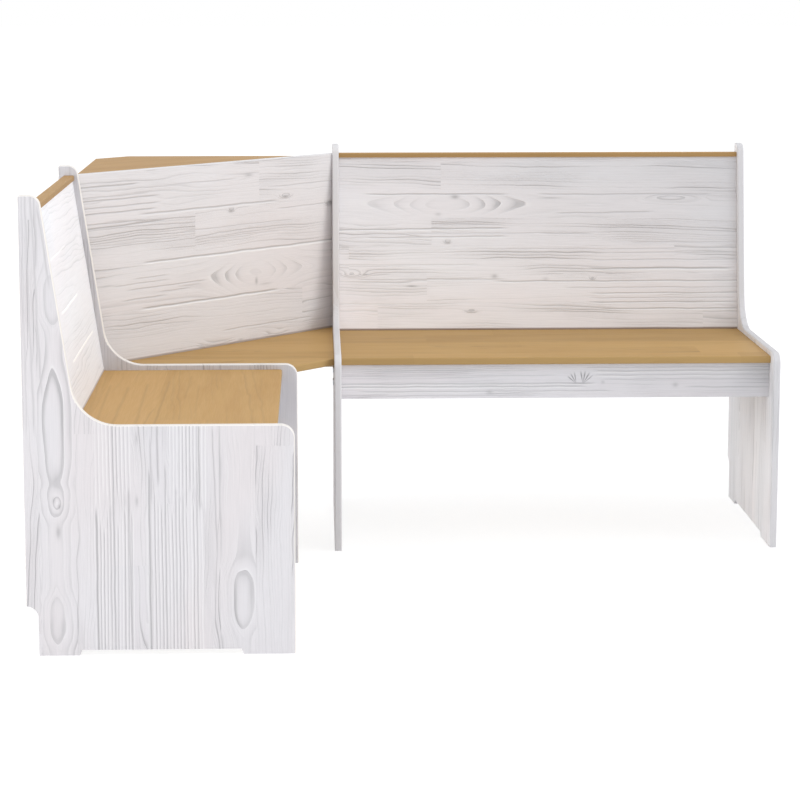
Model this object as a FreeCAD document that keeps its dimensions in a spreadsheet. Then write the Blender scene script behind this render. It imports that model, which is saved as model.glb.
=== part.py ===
import FreeCAD, Part
import math
import os
from collections import defaultdict

import Sketcher
from FreeCAD import Placement, Rotation, Vector

# Corner bench of solid pine boards: a long bench and a short bench that meet at a corner unit.
# The frame of the part: X runs along the long wall, Y points at that wall, Z is up.
# The origin lies on the floor, under the middle of the space that the whole bench takes up.

# Driving sizes, in millimetres
SIZES = (
    # The room that the whole bench takes up
    ("bench_length", 1510, "whole length along the long wall"),
    ("bench_reach", 1184, "whole length along the short wall"),
    ("bench_height", 834, "height of the side panels"),
    ("corner_width", 562, "clear width of the corner unit along each wall"),
    ("board", 15, "thickness of every board"),
    # Side panels, all four of one outline
    ("panel_depth", 485, "depth of a side panel from the wall to its front edge"),
    ("arm_rise", 11, "how far the low front part of a side panel rises above the seat"),
    ("slope_foot", 98, "depth of the leaning edge where it would meet the arm line"),
    ("slope_head", 37.5, "depth of the leaning edge at the top"),
    ("arm_round", 25, "radius of the front top corner"),
    ("lap_round", 83, "radius of the hollow between the arm and the leaning edge"),
    ("head_round", 20, "radius at the top of the leaning edge"),
    ("nape_round", 4, "radius of the top back corner"),
    ("edge_round", 3, "radius along the edges of a side panel"),
    ("plinth_depth", 23, "depth of the notch that clears the skirting of the wall"),
    ("plinth_height", 92, "height of that notch"),
    ("plinth_round", 22, "radius in the corner of that notch"),
    ("rear_foot", 73, "length of the rear foot on the floor"),
    ("front_foot", 94, "length of the front foot on the floor"),
    ("foot_lift", 10, "height of the recess between the two feet"),
    ("foot_slant", 4, "slant of each end of that recess"),
    # Seats
    ("seat_height", 411, "height of the top of every seat"),
    ("seat_rear", 53, "distance of the back edge of a straight seat from the wall"),
    ("seat_setback", 32, "how far a straight seat's front edge sits behind the panels' fronts"),
    ("seat_round", 3, "radius along the front edges of a seat"),
    ("fit_gap", 0.3, "gap at each end of a board between two panels"),
    # Backrests and their caps
    ("back_setback", 12.5, "how far a backrest sits behind the leaning edge"),
    ("back_drop", 20, "how far the caps and the corner backrest lie below the panels' tops"),
    ("cap_thickness", 10, "thickness of a cap"),
    ("cap_overhang", 3.4, "how far a cap stands out in front of and behind its backrest"),
    ("cap_round", 2.5, "radius along the top edges of a cap"),
    # Rails under the straight seats
    ("rail_height", 75, "height of a rail"),
    ("rail_setback", 12, "how far the front rail sits behind the front edge of the seat"),
    # Corner unit
    ("corner_back_set", 36.5, "distance from the wall at which the corner backrest meets a panel"),
    ("corner_seat_setback", 33, "how far the front of the corner seat starts behind the panels' fronts"),
    ("corner_back_round", 2, "radius along the top edges of the corner backrest"),
    ("shelf_drop", 6, "how far the shelf lies below the top of the corner backrest"),
    ("shelf_inset", 27.5, "gap between the shelf and each wall"),
    ("shelf_cut", 68, "leg of the cut off corner of the shelf"),
    ("shelf_round", 2, "radius along the top edges of the shelf"),
    ("shelf_batten_length", 400, "length of the batten under the shelf"),
    # Cleats and battens
    ("cleat_thickness", 20, "thickness of a cleat"),
    ("cleat_height", 25, "height of a cleat"),
    ("cleat_rear_setback", 42, "how far a seat cleat starts in front of a straight seat's back edge"),
    ("cleat_front_setback", 33, "how far it ends behind a straight seat's front edge"),
    ("corner_cleat_length", 235, "length of a cleat of the corner seat"),
    # Bolts and barrel nuts that join the rails to the corner panels
    ("bolt_radius", 3, "radius of a rail bolt"),
    ("bolt_length", 50, "length of a rail bolt under its head"),
    ("bolt_head_radius", 7.5, "radius of its flat head"),
    ("bolt_head_height", 3, "height of its flat head"),
    ("bolt_head_chamfer", 0.8, "chamfer round the flat head"),
    ("bolt_socket_radius", 2.3, "distance of the corners of the driver's hole from its middle"),
    ("bolt_socket_depth", 2, "depth of the driver's hole in the head"),
    ("bolt_upper_drop", 11, "height of the rail above the upper bolt"),
    ("bolt_lower_drop", 38, "height of the rail above the lower bolt"),
    ("nut_radius", 5, "radius of a barrel nut"),
    ("nut_length", 12, "length of a barrel nut"),
    # Cam locks and their bolts at the other board ends
    ("cam_radius", 7.5, "radius of a cam lock"),
    ("cam_height", 12, "height of a cam lock"),
    ("cam_reach", 24, "distance of a cam lock's centre from the end of its board"),
    ("cam_driver_width", 1.6, "width of the driver's slot in a cam lock"),
    ("cam_driver_depth", 1.5, "depth of that slot"),
    ("cam_bolt_thread_radius", 2.5, "radius of the thread in the panel"),
    ("cam_bolt_thread_length", 10, "length of the thread in the panel"),
    ("cam_bolt_collar_radius", 3.5, "radius of the collar and the head"),
    ("cam_bolt_collar_length", 6, "length of the collar next to the panel"),
    ("cam_bolt_neck_radius", 2, "radius of the neck"),
    ("cam_bolt_head_length", 4, "length of the head inside the cam lock"),
    # Wooden dowels
    ("dowel_radius", 4, "radius of a board dowel"),
    ("dowel_length", 24, "length of a board dowel"),
    ("dowel_in_panel", 10, "depth of a board dowel in a side panel"),
    ("dowel_chamfer", 1, "chamfer at each end of a dowel"),
    ("dowel_spread", 24, "distance of the dowels above and below the middle of a rail"),
    ("small_dowel_radius", 3, "radius of a small dowel"),
    ("small_dowel_length", 18, "length of a small dowel"),
    ("small_dowel_in_cap", 6, "depth of a small dowel in a cap"),
    # Countersunk wood screws
    ("screw_radius", 2, "radius of a screw's shank"),
    ("screw_head_radius", 3.8, "radius of a screw's head"),
    ("screw_head_height", 2.4, "height of a screw's head"),
    ("screw_recess_radius", 1.3, "radius of the driver's recess"),
    ("screw_recess_depth", 1.2, "depth of the driver's recess"),
    ("screw_point_length", 4, "length of a screw's point"),
    ("screw_point_radius", 0.6, "radius of the tip of a screw's point"),
    ("cleat_screw_length", 30, "length of a cleat screw"),
    ("seat_screw_length", 35, "length of a seat screw"),
    ("back_screw_length", 40, "length of a backrest screw"),
    # Holes
    ("bore_clearance", 0.2, "gap round a fastener in its hole"),
    ("bore_overrun", 1, "how far a hole runs past what it holds"),
)

# Places of repeated fasteners, as shares of the length or height that carries them
BACK_DOWEL_SHARES = (0.1, 0.9)
BACK_CAM_SHARES = (0.3, 0.7)
SEAT_CLEAT_SCREW_SHARES = (0.15, 0.5, 0.85)
SEAT_SCREW_SHARES = (0.32, 0.68)
CORNER_CLEAT_SCREW_SHARES = (0.1, 0.5, 0.9)
CORNER_SEAT_SCREW_SHARES = (0.3, 0.7)
LONG_BACK_SCREW_SHARES = (0.12, 0.5, 0.88)
SHORT_BACK_SCREW_SHARES = (0.2, 0.8)
LONG_CAP_DOWEL_SHARES = (0.08, 0.36, 0.64, 0.92)
SHORT_CAP_DOWEL_SHARES = (0.1, 0.5, 0.9)
CORNER_BATTEN_SCREW_SHARES = (0.08, 0.36, 0.64, 0.92)
CORNER_BATTEN_DOWEL_SHARES = (0.2, 0.5, 0.8)
SHELF_BATTEN_SCREW_SHARES = (0.08, 0.36, 0.64, 0.92)
SHELF_SCREW_SHARES = (0.22, 0.5, 0.78)

# Length of the driver's slot in a cam lock, as a share of the lock's width
CAM_DRIVER_SHARE = 0.7

# Driver's hole of a bolt: its sides, and how far it is turned as a share of a whole turn
SOCKET_SIDES = 6
SOCKET_TURN_SHARE = 0.04

# Two points nearer than this are one point, in millimetres
SAME_POINT = 0.001


class Size:
    """A length with its value in millimetres and the sheet formula that gives it."""

    def __init__(self, value, formula):
        self.value = value
        self.formula = formula

    def __add__(self, other):
        return Size(self.value + other.value, f"({self.formula} + {other.formula})")

    def __sub__(self, other):
        return Size(self.value - other.value, f"({self.formula} - {other.formula})")

    def __neg__(self):
        return Size(-self.value, f"(-{self.formula})")

    def __mul__(self, factor):
        if isinstance(factor, Size):
            return Size(self.value * factor.value, f"({self.formula} * {factor.formula})")
        return Size(self.value * factor, f"({self.formula} * {factor})")

    def __truediv__(self, divisor):
        if isinstance(divisor, Size):
            return Size(self.value / divisor.value, f"({self.formula} / {divisor.formula})")
        return Size(self.value / divisor, f"({self.formula} / {divisor})")


def slant_factor(slope):
    """How much longer a leaning line is than its height, for its run over its height."""
    return Size(math.sqrt(1 + slope.value**2), f"sqrt(1 + {slope.formula}^2)")


# Document and sheet of sizes
doc = FreeCAD.newDocument("corner_bench")
sheet = doc.addObject("Spreadsheet::Sheet", "sizes")
for row, (alias, value, meaning) in enumerate(SIZES, start=1):
    sheet.set(f"A{row}", meaning)
    sheet.set(f"B{row}", str(value))
    sheet.setAlias(f"B{row}", alias)
doc.recompute()


class NamedSizes:
    """The sizes of the sheet by name, each with its value and its formula."""

    def __getattr__(self, alias):
        return Size(float(sheet.get(alias)), f"sizes.{alias}")


size = NamedSizes()
NONE = Size(0.0, "0")
ROOT_TWO = Size(math.sqrt(2), "sqrt(2)")

# Places that several pieces share
ARM_TOP = size.seat_height + size.arm_rise
SEAT_BOTTOM = size.seat_height - size.board
SEAT_FRONT = size.panel_depth - size.seat_setback
BACK_TOP = size.bench_height - size.back_drop
RAIL_BOTTOM = SEAT_BOTTOM - size.rail_height
RAIL_FRONT = SEAT_FRONT - size.rail_setback
CAP_BOTTOM = BACK_TOP - size.cap_thickness
CLEAT_REAR = size.seat_rear + size.cleat_rear_setback
CLEAT_FRONT = SEAT_FRONT - size.cleat_front_setback
CORNER_CLEAT_FRONT = CLEAT_REAR + size.corner_cleat_length
SLOPE = (size.slope_foot - size.slope_head) / (size.bench_height - ARM_TOP)
LEANING_BOARD = size.board * slant_factor(SLOPE)
LONG_RUN = size.bench_length - size.corner_width - size.board * 2
SHORT_RUN = size.bench_reach - size.corner_width - size.board * 2
CORNER_EDGE = size.corner_width - size.fit_gap
# Along the corner's diagonal lines the distances from the two walls add up to these sums
CORNER_BACK_FRONT = size.corner_width + size.corner_back_set
CORNER_BACK_REAR = CORNER_BACK_FRONT - size.board * ROOT_TWO
CORNER_SEAT_FRONT = size.corner_width + size.panel_depth - size.corner_seat_setback
SHELF_TOP = BACK_TOP - size.shelf_drop
SHELF_BOTTOM = SHELF_TOP - size.board


def back_front(height):
    """Depth of a straight backrest's front face at a height."""
    return size.slope_foot - size.back_setback - SLOPE * (height - ARM_TOP)


def back_middle(height):
    """Depth of the middle of a straight backrest's board at a height."""
    return back_front(height) - LEANING_BOARD / 2


class Frame:
    """Three directions and a base point that a group of pieces is drawn in."""

    def __init__(self, base, across, up):
        self.base = base
        self.across = Vector(*across)
        self.up = Vector(*up)
        self.out = self.across.cross(self.up)

    def rotation(self):
        return Rotation(self.across, self.up, self.out, "XYZ")

    def point(self, across, up, out):
        """The place in the part's frame of three sizes along this frame's directions."""
        base = Vector(*(place.value for place in self.base))
        return base + self.across * across.value + self.up * up.value + self.out * out.value


class Bench(Frame):
    """A straight bench: depth from its wall, height, and run outward from its corner panel."""

    def __init__(self, name, base, forward, outward, run):
        super().__init__(base, forward, (0, 0, 1))
        self.name = name
        self.forward = Vector(*forward)
        self.outward = Vector(*outward)
        self.side = 1 if self.out.dot(self.outward) > 0 else -1
        self.run = run

    def spot(self, depth, height, run):
        return self.point(depth, height, run * self.side)


WALL_X = -size.bench_length / 2
WALL_Y = size.bench_reach / 2
LONG = Bench(
    "long", (WALL_X + size.corner_width + size.board, WALL_Y, NONE), (0, -1, 0), (1, 0, 0), LONG_RUN
)
SHORT = Bench(
    "short", (WALL_X, WALL_Y - size.corner_width - size.board, NONE), (1, 0, 0), (0, -1, 0), SHORT_RUN
)
# The corner's frame counts the distance from the long wall first, then that from the short wall
CORNER = Frame((WALL_X, WALL_Y, NONE), (0, -1, 0), (1, 0, 0))


# Sketches, boards and rounded edges


def set_base(thing, base):
    for axis, place in zip("xyz", base):
        thing.setExpression(f".Placement.Base.{axis}", place.formula)


def new_body(name, frame):
    body = doc.addObject("PartDesign::Body", name)
    body.Placement = Placement(frame.point(NONE, NONE, NONE), frame.rotation())
    set_base(body, frame.base)
    return body


def hold(sketch, kind, axis, index, place):
    """Holds one corner of an outline at its distance from the origin along one direction."""
    if place is NONE:
        sketch.addConstraint(Sketcher.Constraint("PointOnObject", index, 1, axis))
        return
    number = sketch.addConstraint(Sketcher.Constraint(kind, -1, 1, index, 1, place.value))
    name = f"corner_{index}_{kind}"
    sketch.renameConstraint(number, name)
    sketch.setExpression(f"Constraints.{name}", place.formula)


def outline(body, corners, plane="XY_Plane", offset=NONE):
    """A closed outline of straight lines on one of the body's own planes."""
    sketch = body.newObject("Sketcher::SketchObject", f"{body.Name}_outline")
    support = next(origin for origin in body.Origin.OriginFeatures if origin.Role == plane)
    sketch.AttachmentSupport = [(support, "")]
    sketch.MapMode = "FlatFace"
    sketch.setExpression("AttachmentOffset.Base.z", offset.formula)
    points = [Vector(across.value, up.value, 0) for across, up in corners]
    for start, end in zip(points, points[1:] + points[:1]):
        sketch.addGeometry(Part.LineSegment(start, end), False)
    for index in range(len(points)):
        following = (index + 1) % len(points)
        sketch.addConstraint(Sketcher.Constraint("Coincident", index, 2, following, 1))
    for index, (across, up) in enumerate(corners):
        hold(sketch, "DistanceX", -2, index, across)
        hold(sketch, "DistanceY", -1, index, up)
    return sketch


def thicken(body, sketch, length, backwards=False):
    pad = body.newObject("PartDesign::Pad", f"{body.Name}_pad")
    pad.Profile = sketch
    pad.setExpression("Length", length.formula)
    pad.Reversed = backwards
    doc.recompute()
    return pad


def edge_middle(edge):
    return edge.valueAt((edge.FirstParameter + edge.LastParameter) / 2)


def round_edges(body, chosen, radius, name):
    """Rounds the body's edges whose middle point passes the test."""
    before = body.Tip
    edges = [
        f"Edge{number}"
        for number, edge in enumerate(before.Shape.Edges, start=1)
        if chosen(edge_middle(edge))
    ]
    if not edges:
        raise RuntimeError(f"{body.Name}: no edge to round for {name}")
    fillet = body.newObject("PartDesign::Fillet", f"{body.Name}_{name}")
    fillet.Base = (before, edges)
    fillet.setExpression("Radius", radius.formula)
    doc.recompute()
    return fillet


def near(first, second):
    return abs(first - second) < SAME_POINT


def at_corner(across, up):
    """Test for the edge that runs along the pad at one corner of the outline."""
    return lambda middle: near(middle.x, across.value) and near(middle.y, up.value)


def bench_board(bench, name, corners, start, length):
    """A board of a straight bench: its section in depth and height, carried along the run."""
    body = new_body(f"{name}_blank", bench)
    sketch = outline(body, corners, offset=start * bench.side)
    thicken(body, sketch, length, backwards=bench.side < 0)
    return body


def corner_board(name, corners, bottom, height):
    """A board of the corner unit: its plan, carried upward."""
    body = new_body(f"{name}_blank", CORNER)
    sketch = outline(body, corners, offset=bottom)
    thicken(body, sketch, height)
    return body


def rectangle(near_depth, far_depth, bottom, top):
    return (
        (near_depth, bottom),
        (far_depth, bottom),
        (far_depth, top),
        (near_depth, top),
    )


# Side panels


def side_panel(bench, name, start):
    """One side panel: low arm in front, hollow, leaning edge, plinth notch and two feet."""
    recess_rear = size.plinth_depth + size.rear_foot
    recess_front = size.panel_depth - size.front_foot
    corners = (
        (size.plinth_depth, NONE),
        (recess_rear, NONE),
        (recess_rear + size.foot_slant, size.foot_lift),
        (recess_front - size.foot_slant, size.foot_lift),
        (recess_front, NONE),
        (size.panel_depth, NONE),
        (size.panel_depth, ARM_TOP),
        (size.slope_foot, ARM_TOP),
        (size.slope_head, size.bench_height),
        (NONE, size.bench_height),
        (NONE, size.plinth_height),
        (size.plinth_depth, size.plinth_height),
    )
    body = bench_board(bench, name, corners, start, size.board)
    for across, up, radius, where in (
        (size.panel_depth, ARM_TOP, size.arm_round, "arm_round"),
        (size.slope_foot, ARM_TOP, size.lap_round, "lap_round"),
        (size.slope_head, size.bench_height, size.head_round, "head_round"),
        (NONE, size.bench_height, size.nape_round, "nape_round"),
        (size.plinth_depth, size.plinth_height, size.plinth_round, "plinth_round"),
    ):
        round_edges(body, at_corner(across, up), radius, where)
    faces = [(start * bench.side).value, ((start + size.board) * bench.side).value]

    def on_upper_outline(middle):
        on_face = near(middle.z, faces[0]) or near(middle.z, faces[1])
        return on_face and middle.y > size.plinth_height.value + SAME_POINT

    round_edges(body, on_upper_outline, size.edge_round, "edge_round")
    return body


blanks = {}
for bench in (LONG, SHORT):
    for place, start in (("corner", -size.board), ("end", bench.run)):
        name = f"{bench.name}_bench_{place}_panel"
        blanks[name] = side_panel(bench, name, start)


# Boards of the two straight benches

for bench in (LONG, SHORT):
    length = bench.run - size.fit_gap * 2

    seat = bench_board(
        bench,
        f"{bench.name}_seat",
        rectangle(size.seat_rear, SEAT_FRONT, SEAT_BOTTOM, size.seat_height),
        size.fit_gap,
        length,
    )
    round_edges(
        seat,
        lambda middle: near(middle.x, SEAT_FRONT.value)
        and (near(middle.y, size.seat_height.value) or near(middle.y, SEAT_BOTTOM.value)),
        size.seat_round,
        "front_round",
    )
    blanks[f"{bench.name}_seat"] = seat

    blanks[f"{bench.name}_backrest"] = bench_board(
        bench,
        f"{bench.name}_backrest",
        (
            (back_front(size.seat_height) - LEANING_BOARD, size.seat_height),
            (back_front(size.seat_height), size.seat_height),
            (back_front(CAP_BOTTOM), CAP_BOTTOM),
            (back_front(CAP_BOTTOM) - LEANING_BOARD, CAP_BOTTOM),
        ),
        size.fit_gap,
        length,
    )

    cap = bench_board(
        bench,
        f"{bench.name}_top_cap",
        rectangle(
            back_front(CAP_BOTTOM) - LEANING_BOARD - size.cap_overhang,
            back_front(CAP_BOTTOM) + size.cap_overhang,
            CAP_BOTTOM,
            BACK_TOP,
        ),
        size.fit_gap,
        length,
    )
    cap_middle_run = (size.fit_gap + length / 2).value * bench.side
    round_edges(
        cap,
        lambda middle: near(middle.y, BACK_TOP.value) and near(middle.z, cap_middle_run),
        size.cap_round,
        "top_round",
    )
    blanks[f"{bench.name}_top_cap"] = cap

    for place, rail_face in (("front", RAIL_FRONT), ("rear", size.seat_rear + size.board)):
        name = f"{bench.name}_{place}_rail"
        blanks[name] = bench_board(
            bench,
            name,
            rectangle(rail_face - size.board, rail_face, RAIL_BOTTOM, SEAT_BOTTOM),
            size.fit_gap,
            length,
        )

    for place, start in (("corner", NONE), ("end", bench.run - size.cleat_thickness)):
        name = f"{bench.name}_seat_{place}_cleat"
        blanks[name] = bench_board(
            bench,
            name,
            rectangle(
                CLEAT_REAR, CLEAT_FRONT, SEAT_BOTTOM - size.cleat_height, SEAT_BOTTOM
            ),
            start,
            size.cleat_thickness,
        )


# Boards of the corner unit

blanks["corner_seat"] = corner_board(
    "corner_seat",
    (
        (CORNER_EDGE, CORNER_BACK_REAR - CORNER_EDGE),
        (CORNER_EDGE, CORNER_SEAT_FRONT - CORNER_EDGE),
        (CORNER_SEAT_FRONT - CORNER_EDGE, CORNER_EDGE),
        (CORNER_BACK_REAR - CORNER_EDGE, CORNER_EDGE),
    ),
    SEAT_BOTTOM,
    size.board,
)
round_edges(
    blanks["corner_seat"],
    lambda middle: near(middle.x + middle.y, CORNER_SEAT_FRONT.value)
    and near(middle.x, middle.y),
    size.seat_round,
    "front_round",
)

blanks["corner_backrest"] = corner_board(
    "corner_backrest",
    (
        (CORNER_EDGE, CORNER_BACK_REAR - CORNER_EDGE),
        (CORNER_EDGE, CORNER_BACK_FRONT - CORNER_EDGE),
        (CORNER_BACK_FRONT - CORNER_EDGE, CORNER_EDGE),
        (CORNER_BACK_REAR - CORNER_EDGE, CORNER_EDGE),
    ),
    size.seat_height,
    BACK_TOP - size.seat_height,
)
round_edges(
    blanks["corner_backrest"],
    lambda middle: near(middle.z, BACK_TOP.value) and near(middle.x, middle.y),
    size.corner_back_round,
    "top_round",
)

SHELF_CORNER = size.shelf_inset + size.shelf_cut
blanks["corner_top_shelf"] = corner_board(
    "corner_top_shelf",
    (
        (CORNER_BACK_REAR - size.shelf_inset, size.shelf_inset),
        (size.shelf_inset, CORNER_BACK_REAR - size.shelf_inset),
        (size.shelf_inset, SHELF_CORNER),
        (SHELF_CORNER, size.shelf_inset),
    ),
    SHELF_BOTTOM,
    size.board,
)
round_edges(
    blanks["corner_top_shelf"],
    lambda middle: near(middle.z, SHELF_TOP.value)
    and middle.x + middle.y < CORNER_BACK_REAR.value - SAME_POINT,
    size.shelf_round,
    "top_round",
)

BATTEN_INNER = size.corner_width - size.cleat_thickness
CORNER_CLEAT_PLAN = rectangle(
    BATTEN_INNER, size.corner_width, CLEAT_REAR, CORNER_CLEAT_FRONT
)
CORNER_BATTEN_PLAN = (
    (BATTEN_INNER, NONE),
    (size.corner_width, NONE),
    (size.corner_width, CORNER_BACK_REAR - size.corner_width),
    (BATTEN_INNER, CORNER_BACK_REAR - BATTEN_INNER),
)


def other_side(plan):
    """The same plan mirrored over the corner's diagonal."""
    return tuple((up, across) for across, up in reversed(plan))


for side, cleat_plan, batten_plan in (
    ("short", CORNER_CLEAT_PLAN, CORNER_BATTEN_PLAN),
    ("long", other_side(CORNER_CLEAT_PLAN), other_side(CORNER_BATTEN_PLAN)),
):
    cleat = f"corner_seat_{side}_side_cleat"
    blanks[cleat] = corner_board(
        cleat, cleat_plan, SEAT_BOTTOM - size.cleat_height, size.cleat_height
    )
    batten = f"corner_back_{side}_side_batten"
    blanks[batten] = corner_board(
        batten, batten_plan, SEAT_BOTTOM, SHELF_BOTTOM - SEAT_BOTTOM
    )

# The shelf batten lies along the back of the corner backrest, centred on the diagonal
BATTEN_HALF = size.shelf_batten_length / 2 / ROOT_TWO
BATTEN_DEEP = size.cleat_thickness / ROOT_TWO
HALF_REAR = CORNER_BACK_REAR / 2
blanks["shelf_batten"] = corner_board(
    "shelf_batten",
    (
        (HALF_REAR + BATTEN_HALF, HALF_REAR - BATTEN_HALF),
        (HALF_REAR - BATTEN_HALF, HALF_REAR + BATTEN_HALF),
        (HALF_REAR - BATTEN_HALF - BATTEN_DEEP, HALF_REAR + BATTEN_HALF - BATTEN_DEEP),
        (HALF_REAR + BATTEN_HALF - BATTEN_DEEP, HALF_REAR - BATTEN_HALF - BATTEN_DEEP),
    ),
    SHELF_BOTTOM - size.cleat_height,
    size.cleat_height,
)


# Fasteners: each kind is drawn once on its own axis, with the hole that it needs


def turned(name, profile):
    """A solid turned about its own Z axis, from a closed profile of radius and height."""
    body = doc.addObject("PartDesign::Body", name)
    sketch = outline(body, profile, plane="XZ_Plane")
    turn = body.newObject("PartDesign::Revolution", f"{name}_turn")
    turn.Profile = sketch
    turn.ReferenceAxis = (sketch, ["V_Axis"])
    turn.Angle = 360
    doc.recompute()
    return body


def hexagon_socket(body, radius, depth):
    """A six-sided hole for a driver, let into the end that lies at the body's origin."""
    before = body.Shape.Volume
    angles = [math.tau * (side / SOCKET_SIDES + SOCKET_TURN_SHARE) for side in range(SOCKET_SIDES)]
    corners = [(radius * math.cos(angle), radius * math.sin(angle)) for angle in angles]
    pocket = body.newObject("PartDesign::Pocket", f"{body.Name}_socket")
    pocket.Profile = outline(body, corners)
    pocket.setExpression("Length", depth.formula)
    pocket.Reversed = True
    doc.recompute()
    if not body.Shape.Volume < before:
        raise RuntimeError(f"{body.Name}: the socket cuts nothing")


def primitive(kind, name, sizes, base=(NONE, NONE, NONE), rotation=Rotation()):
    """A plain solid with its sizes and its place bound to the sheet."""
    solid = doc.addObject(kind, name)
    for key, length in sizes.items():
        solid.setExpression(key, length.formula)
    solid.Placement.Rotation = rotation
    set_base(solid, base)
    return solid


def cut(name, base, tool):
    result = doc.addObject("Part::Cut", name)
    result.Base = base
    result.Tool = tool
    doc.recompute()
    return result


def bore(name, steps):
    """The hole for a fastener: wider by the clearance, and longer at both ends."""
    wider = [
        (radius + size.bore_clearance, height + size.bore_overrun) for radius, height in steps
    ]
    last_radius, last_height = wider[-1]
    end = last_height + size.bore_overrun
    profile = [(NONE, NONE), (wider[0][0], NONE)] + wider[1:-1] + [(last_radius, end), (NONE, end)]
    return turned(name, profile)


class Fastener:
    """One kind of fastener, where its pieces go, and the boards that each hole enters."""

    kinds = []

    def __init__(self, label, pattern, hole):
        self.label = label
        self.pattern = pattern
        self.hole = hole
        self.places = []
        self.drilled = defaultdict(list)
        Fastener.kinds.append(self)

    def put(self, start, along, boards, side=None):
        """Places one piece that starts at a point and points along a direction."""
        if side is None:
            turn = Rotation(Vector(0, 0, 1), along)
        else:
            turn = Rotation(side, along.cross(side), along, "ZXY")
        self.places.append(Placement(start, turn))
        hole_start = start - along * size.bore_overrun.value
        for board in boards:
            self.drilled[board].append(Placement(hole_start, turn))


def wood_screw(label, length):
    """Countersunk head flush with the surface, plain shank and a point."""
    profile = [
        (NONE, size.screw_recess_depth),
        (size.screw_recess_radius, NONE),
        (size.screw_head_radius, NONE),
        (size.screw_radius, size.screw_head_height),
        (size.screw_radius, length - size.screw_point_length),
        (size.screw_point_radius, length),
        (NONE, length),
    ]
    hole_steps = [
        (size.screw_head_radius, NONE),
        (size.screw_head_radius, size.bore_clearance),
        (size.screw_radius, size.screw_head_height + size.bore_clearance),
        (size.screw_radius, length),
    ]
    hole = bore(f"{label}_hole", hole_steps)
    return Fastener(label, turned(f"{label}_pattern", profile), hole)


bolt_tip = size.bolt_head_height + size.bolt_length
bolt = turned(
    "rail_bolt_pattern",
    [
        (NONE, NONE),
        (size.bolt_head_radius - size.bolt_head_chamfer, NONE),
        (size.bolt_head_radius, size.bolt_head_chamfer),
        (size.bolt_head_radius, size.bolt_head_height),
        (size.bolt_radius, size.bolt_head_height),
        (size.bolt_radius, bolt_tip),
        (NONE, bolt_tip),
    ],
)
hexagon_socket(bolt, size.bolt_socket_radius, size.bolt_socket_depth)
rail_bolt = Fastener(
    "rail_bolts",
    bolt,
    bore("rail_bolt_hole", [(size.bolt_radius, NONE), (size.bolt_radius, bolt_tip)]),
)

nut_body = primitive(
    "Part::Cylinder", "barrel_nut_round", {"Radius": size.nut_radius, "Height": size.nut_length}
)
nut_thread = primitive(
    "Part::Cylinder",
    "barrel_nut_thread",
    {"Radius": size.bolt_radius + size.bore_clearance, "Height": size.nut_radius * 4},
    base=(-size.nut_radius * 2, NONE, size.board / 2),
    rotation=Rotation(Vector(0, 0, 1), Vector(1, 0, 0)),
)
barrel_nut = Fastener(
    "barrel_nuts",
    cut("barrel_nut_pattern", nut_body, nut_thread),
    bore("barrel_nut_hole", [(size.nut_radius, NONE), (size.nut_radius, size.nut_length)]),
)

# A cam lock takes the head of its bolt through a slot in its side
cam_slot_height = size.cam_bolt_collar_radius * 2 + size.bore_clearance * 2
cam_body = primitive(
    "Part::Cylinder", "cam_lock_round", {"Radius": size.cam_radius, "Height": size.cam_height}
)
cam_slot = primitive(
    "Part::Box",
    "cam_lock_slot",
    {
        "Length": size.cam_radius * 2,
        "Width": cam_slot_height,
        "Height": cam_slot_height,
    },
    base=(
        -size.cam_bolt_head_length / 2 - size.bore_clearance,
        -cam_slot_height / 2,
        size.board / 2 - cam_slot_height / 2,
    ),
)
cam_driver = primitive(
    "Part::Box",
    "cam_lock_driver",
    {
        "Length": size.cam_driver_width,
        "Width": size.cam_radius * 2 * CAM_DRIVER_SHARE,
        "Height": size.cam_driver_depth * 2,
    },
    base=(
        -size.cam_driver_width / 2,
        -size.cam_radius * CAM_DRIVER_SHARE,
        -size.cam_driver_depth,
    ),
)
cam_lock = Fastener(
    "cam_locks",
    cut("cam_lock_pattern", cut("cam_lock_slotted", cam_body, cam_slot), cam_driver),
    bore("cam_lock_hole", [(size.cam_radius, NONE), (size.cam_radius, size.cam_height)]),
)

cam_bolt_face = size.cam_bolt_thread_length
cam_bolt_tip = cam_bolt_face + size.cam_reach + size.cam_bolt_head_length / 2
cam_bolt_profile = [
    (NONE, NONE),
    (size.cam_bolt_thread_radius, NONE),
    (size.cam_bolt_thread_radius, cam_bolt_face),
    (size.cam_bolt_collar_radius, cam_bolt_face),
    (size.cam_bolt_collar_radius, cam_bolt_face + size.cam_bolt_collar_length),
    (size.cam_bolt_neck_radius, cam_bolt_face + size.cam_bolt_collar_length),
    (size.cam_bolt_neck_radius, cam_bolt_tip - size.cam_bolt_head_length),
    (size.cam_bolt_collar_radius, cam_bolt_tip - size.cam_bolt_head_length),
    (size.cam_bolt_collar_radius, cam_bolt_tip),
    (NONE, cam_bolt_tip),
]
cam_bolt_hole_steps = [
    (size.cam_bolt_thread_radius, NONE),
    (size.cam_bolt_thread_radius, cam_bolt_face),
    (size.cam_bolt_collar_radius, cam_bolt_face),
    (size.cam_bolt_collar_radius, cam_bolt_tip),
]
cam_bolt = Fastener(
    "cam_bolts",
    turned("cam_bolt_pattern", cam_bolt_profile),
    bore("cam_bolt_hole", cam_bolt_hole_steps),
)


def dowel(label, radius, length):
    profile = [
        (NONE, NONE),
        (radius - size.dowel_chamfer, NONE),
        (radius, size.dowel_chamfer),
        (radius, length - size.dowel_chamfer),
        (radius - size.dowel_chamfer, length),
        (NONE, length),
    ]
    hole = bore(f"{label}_hole", [(radius, NONE), (radius, length)])
    return Fastener(label, turned(f"{label}_pattern", profile), hole)


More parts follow.
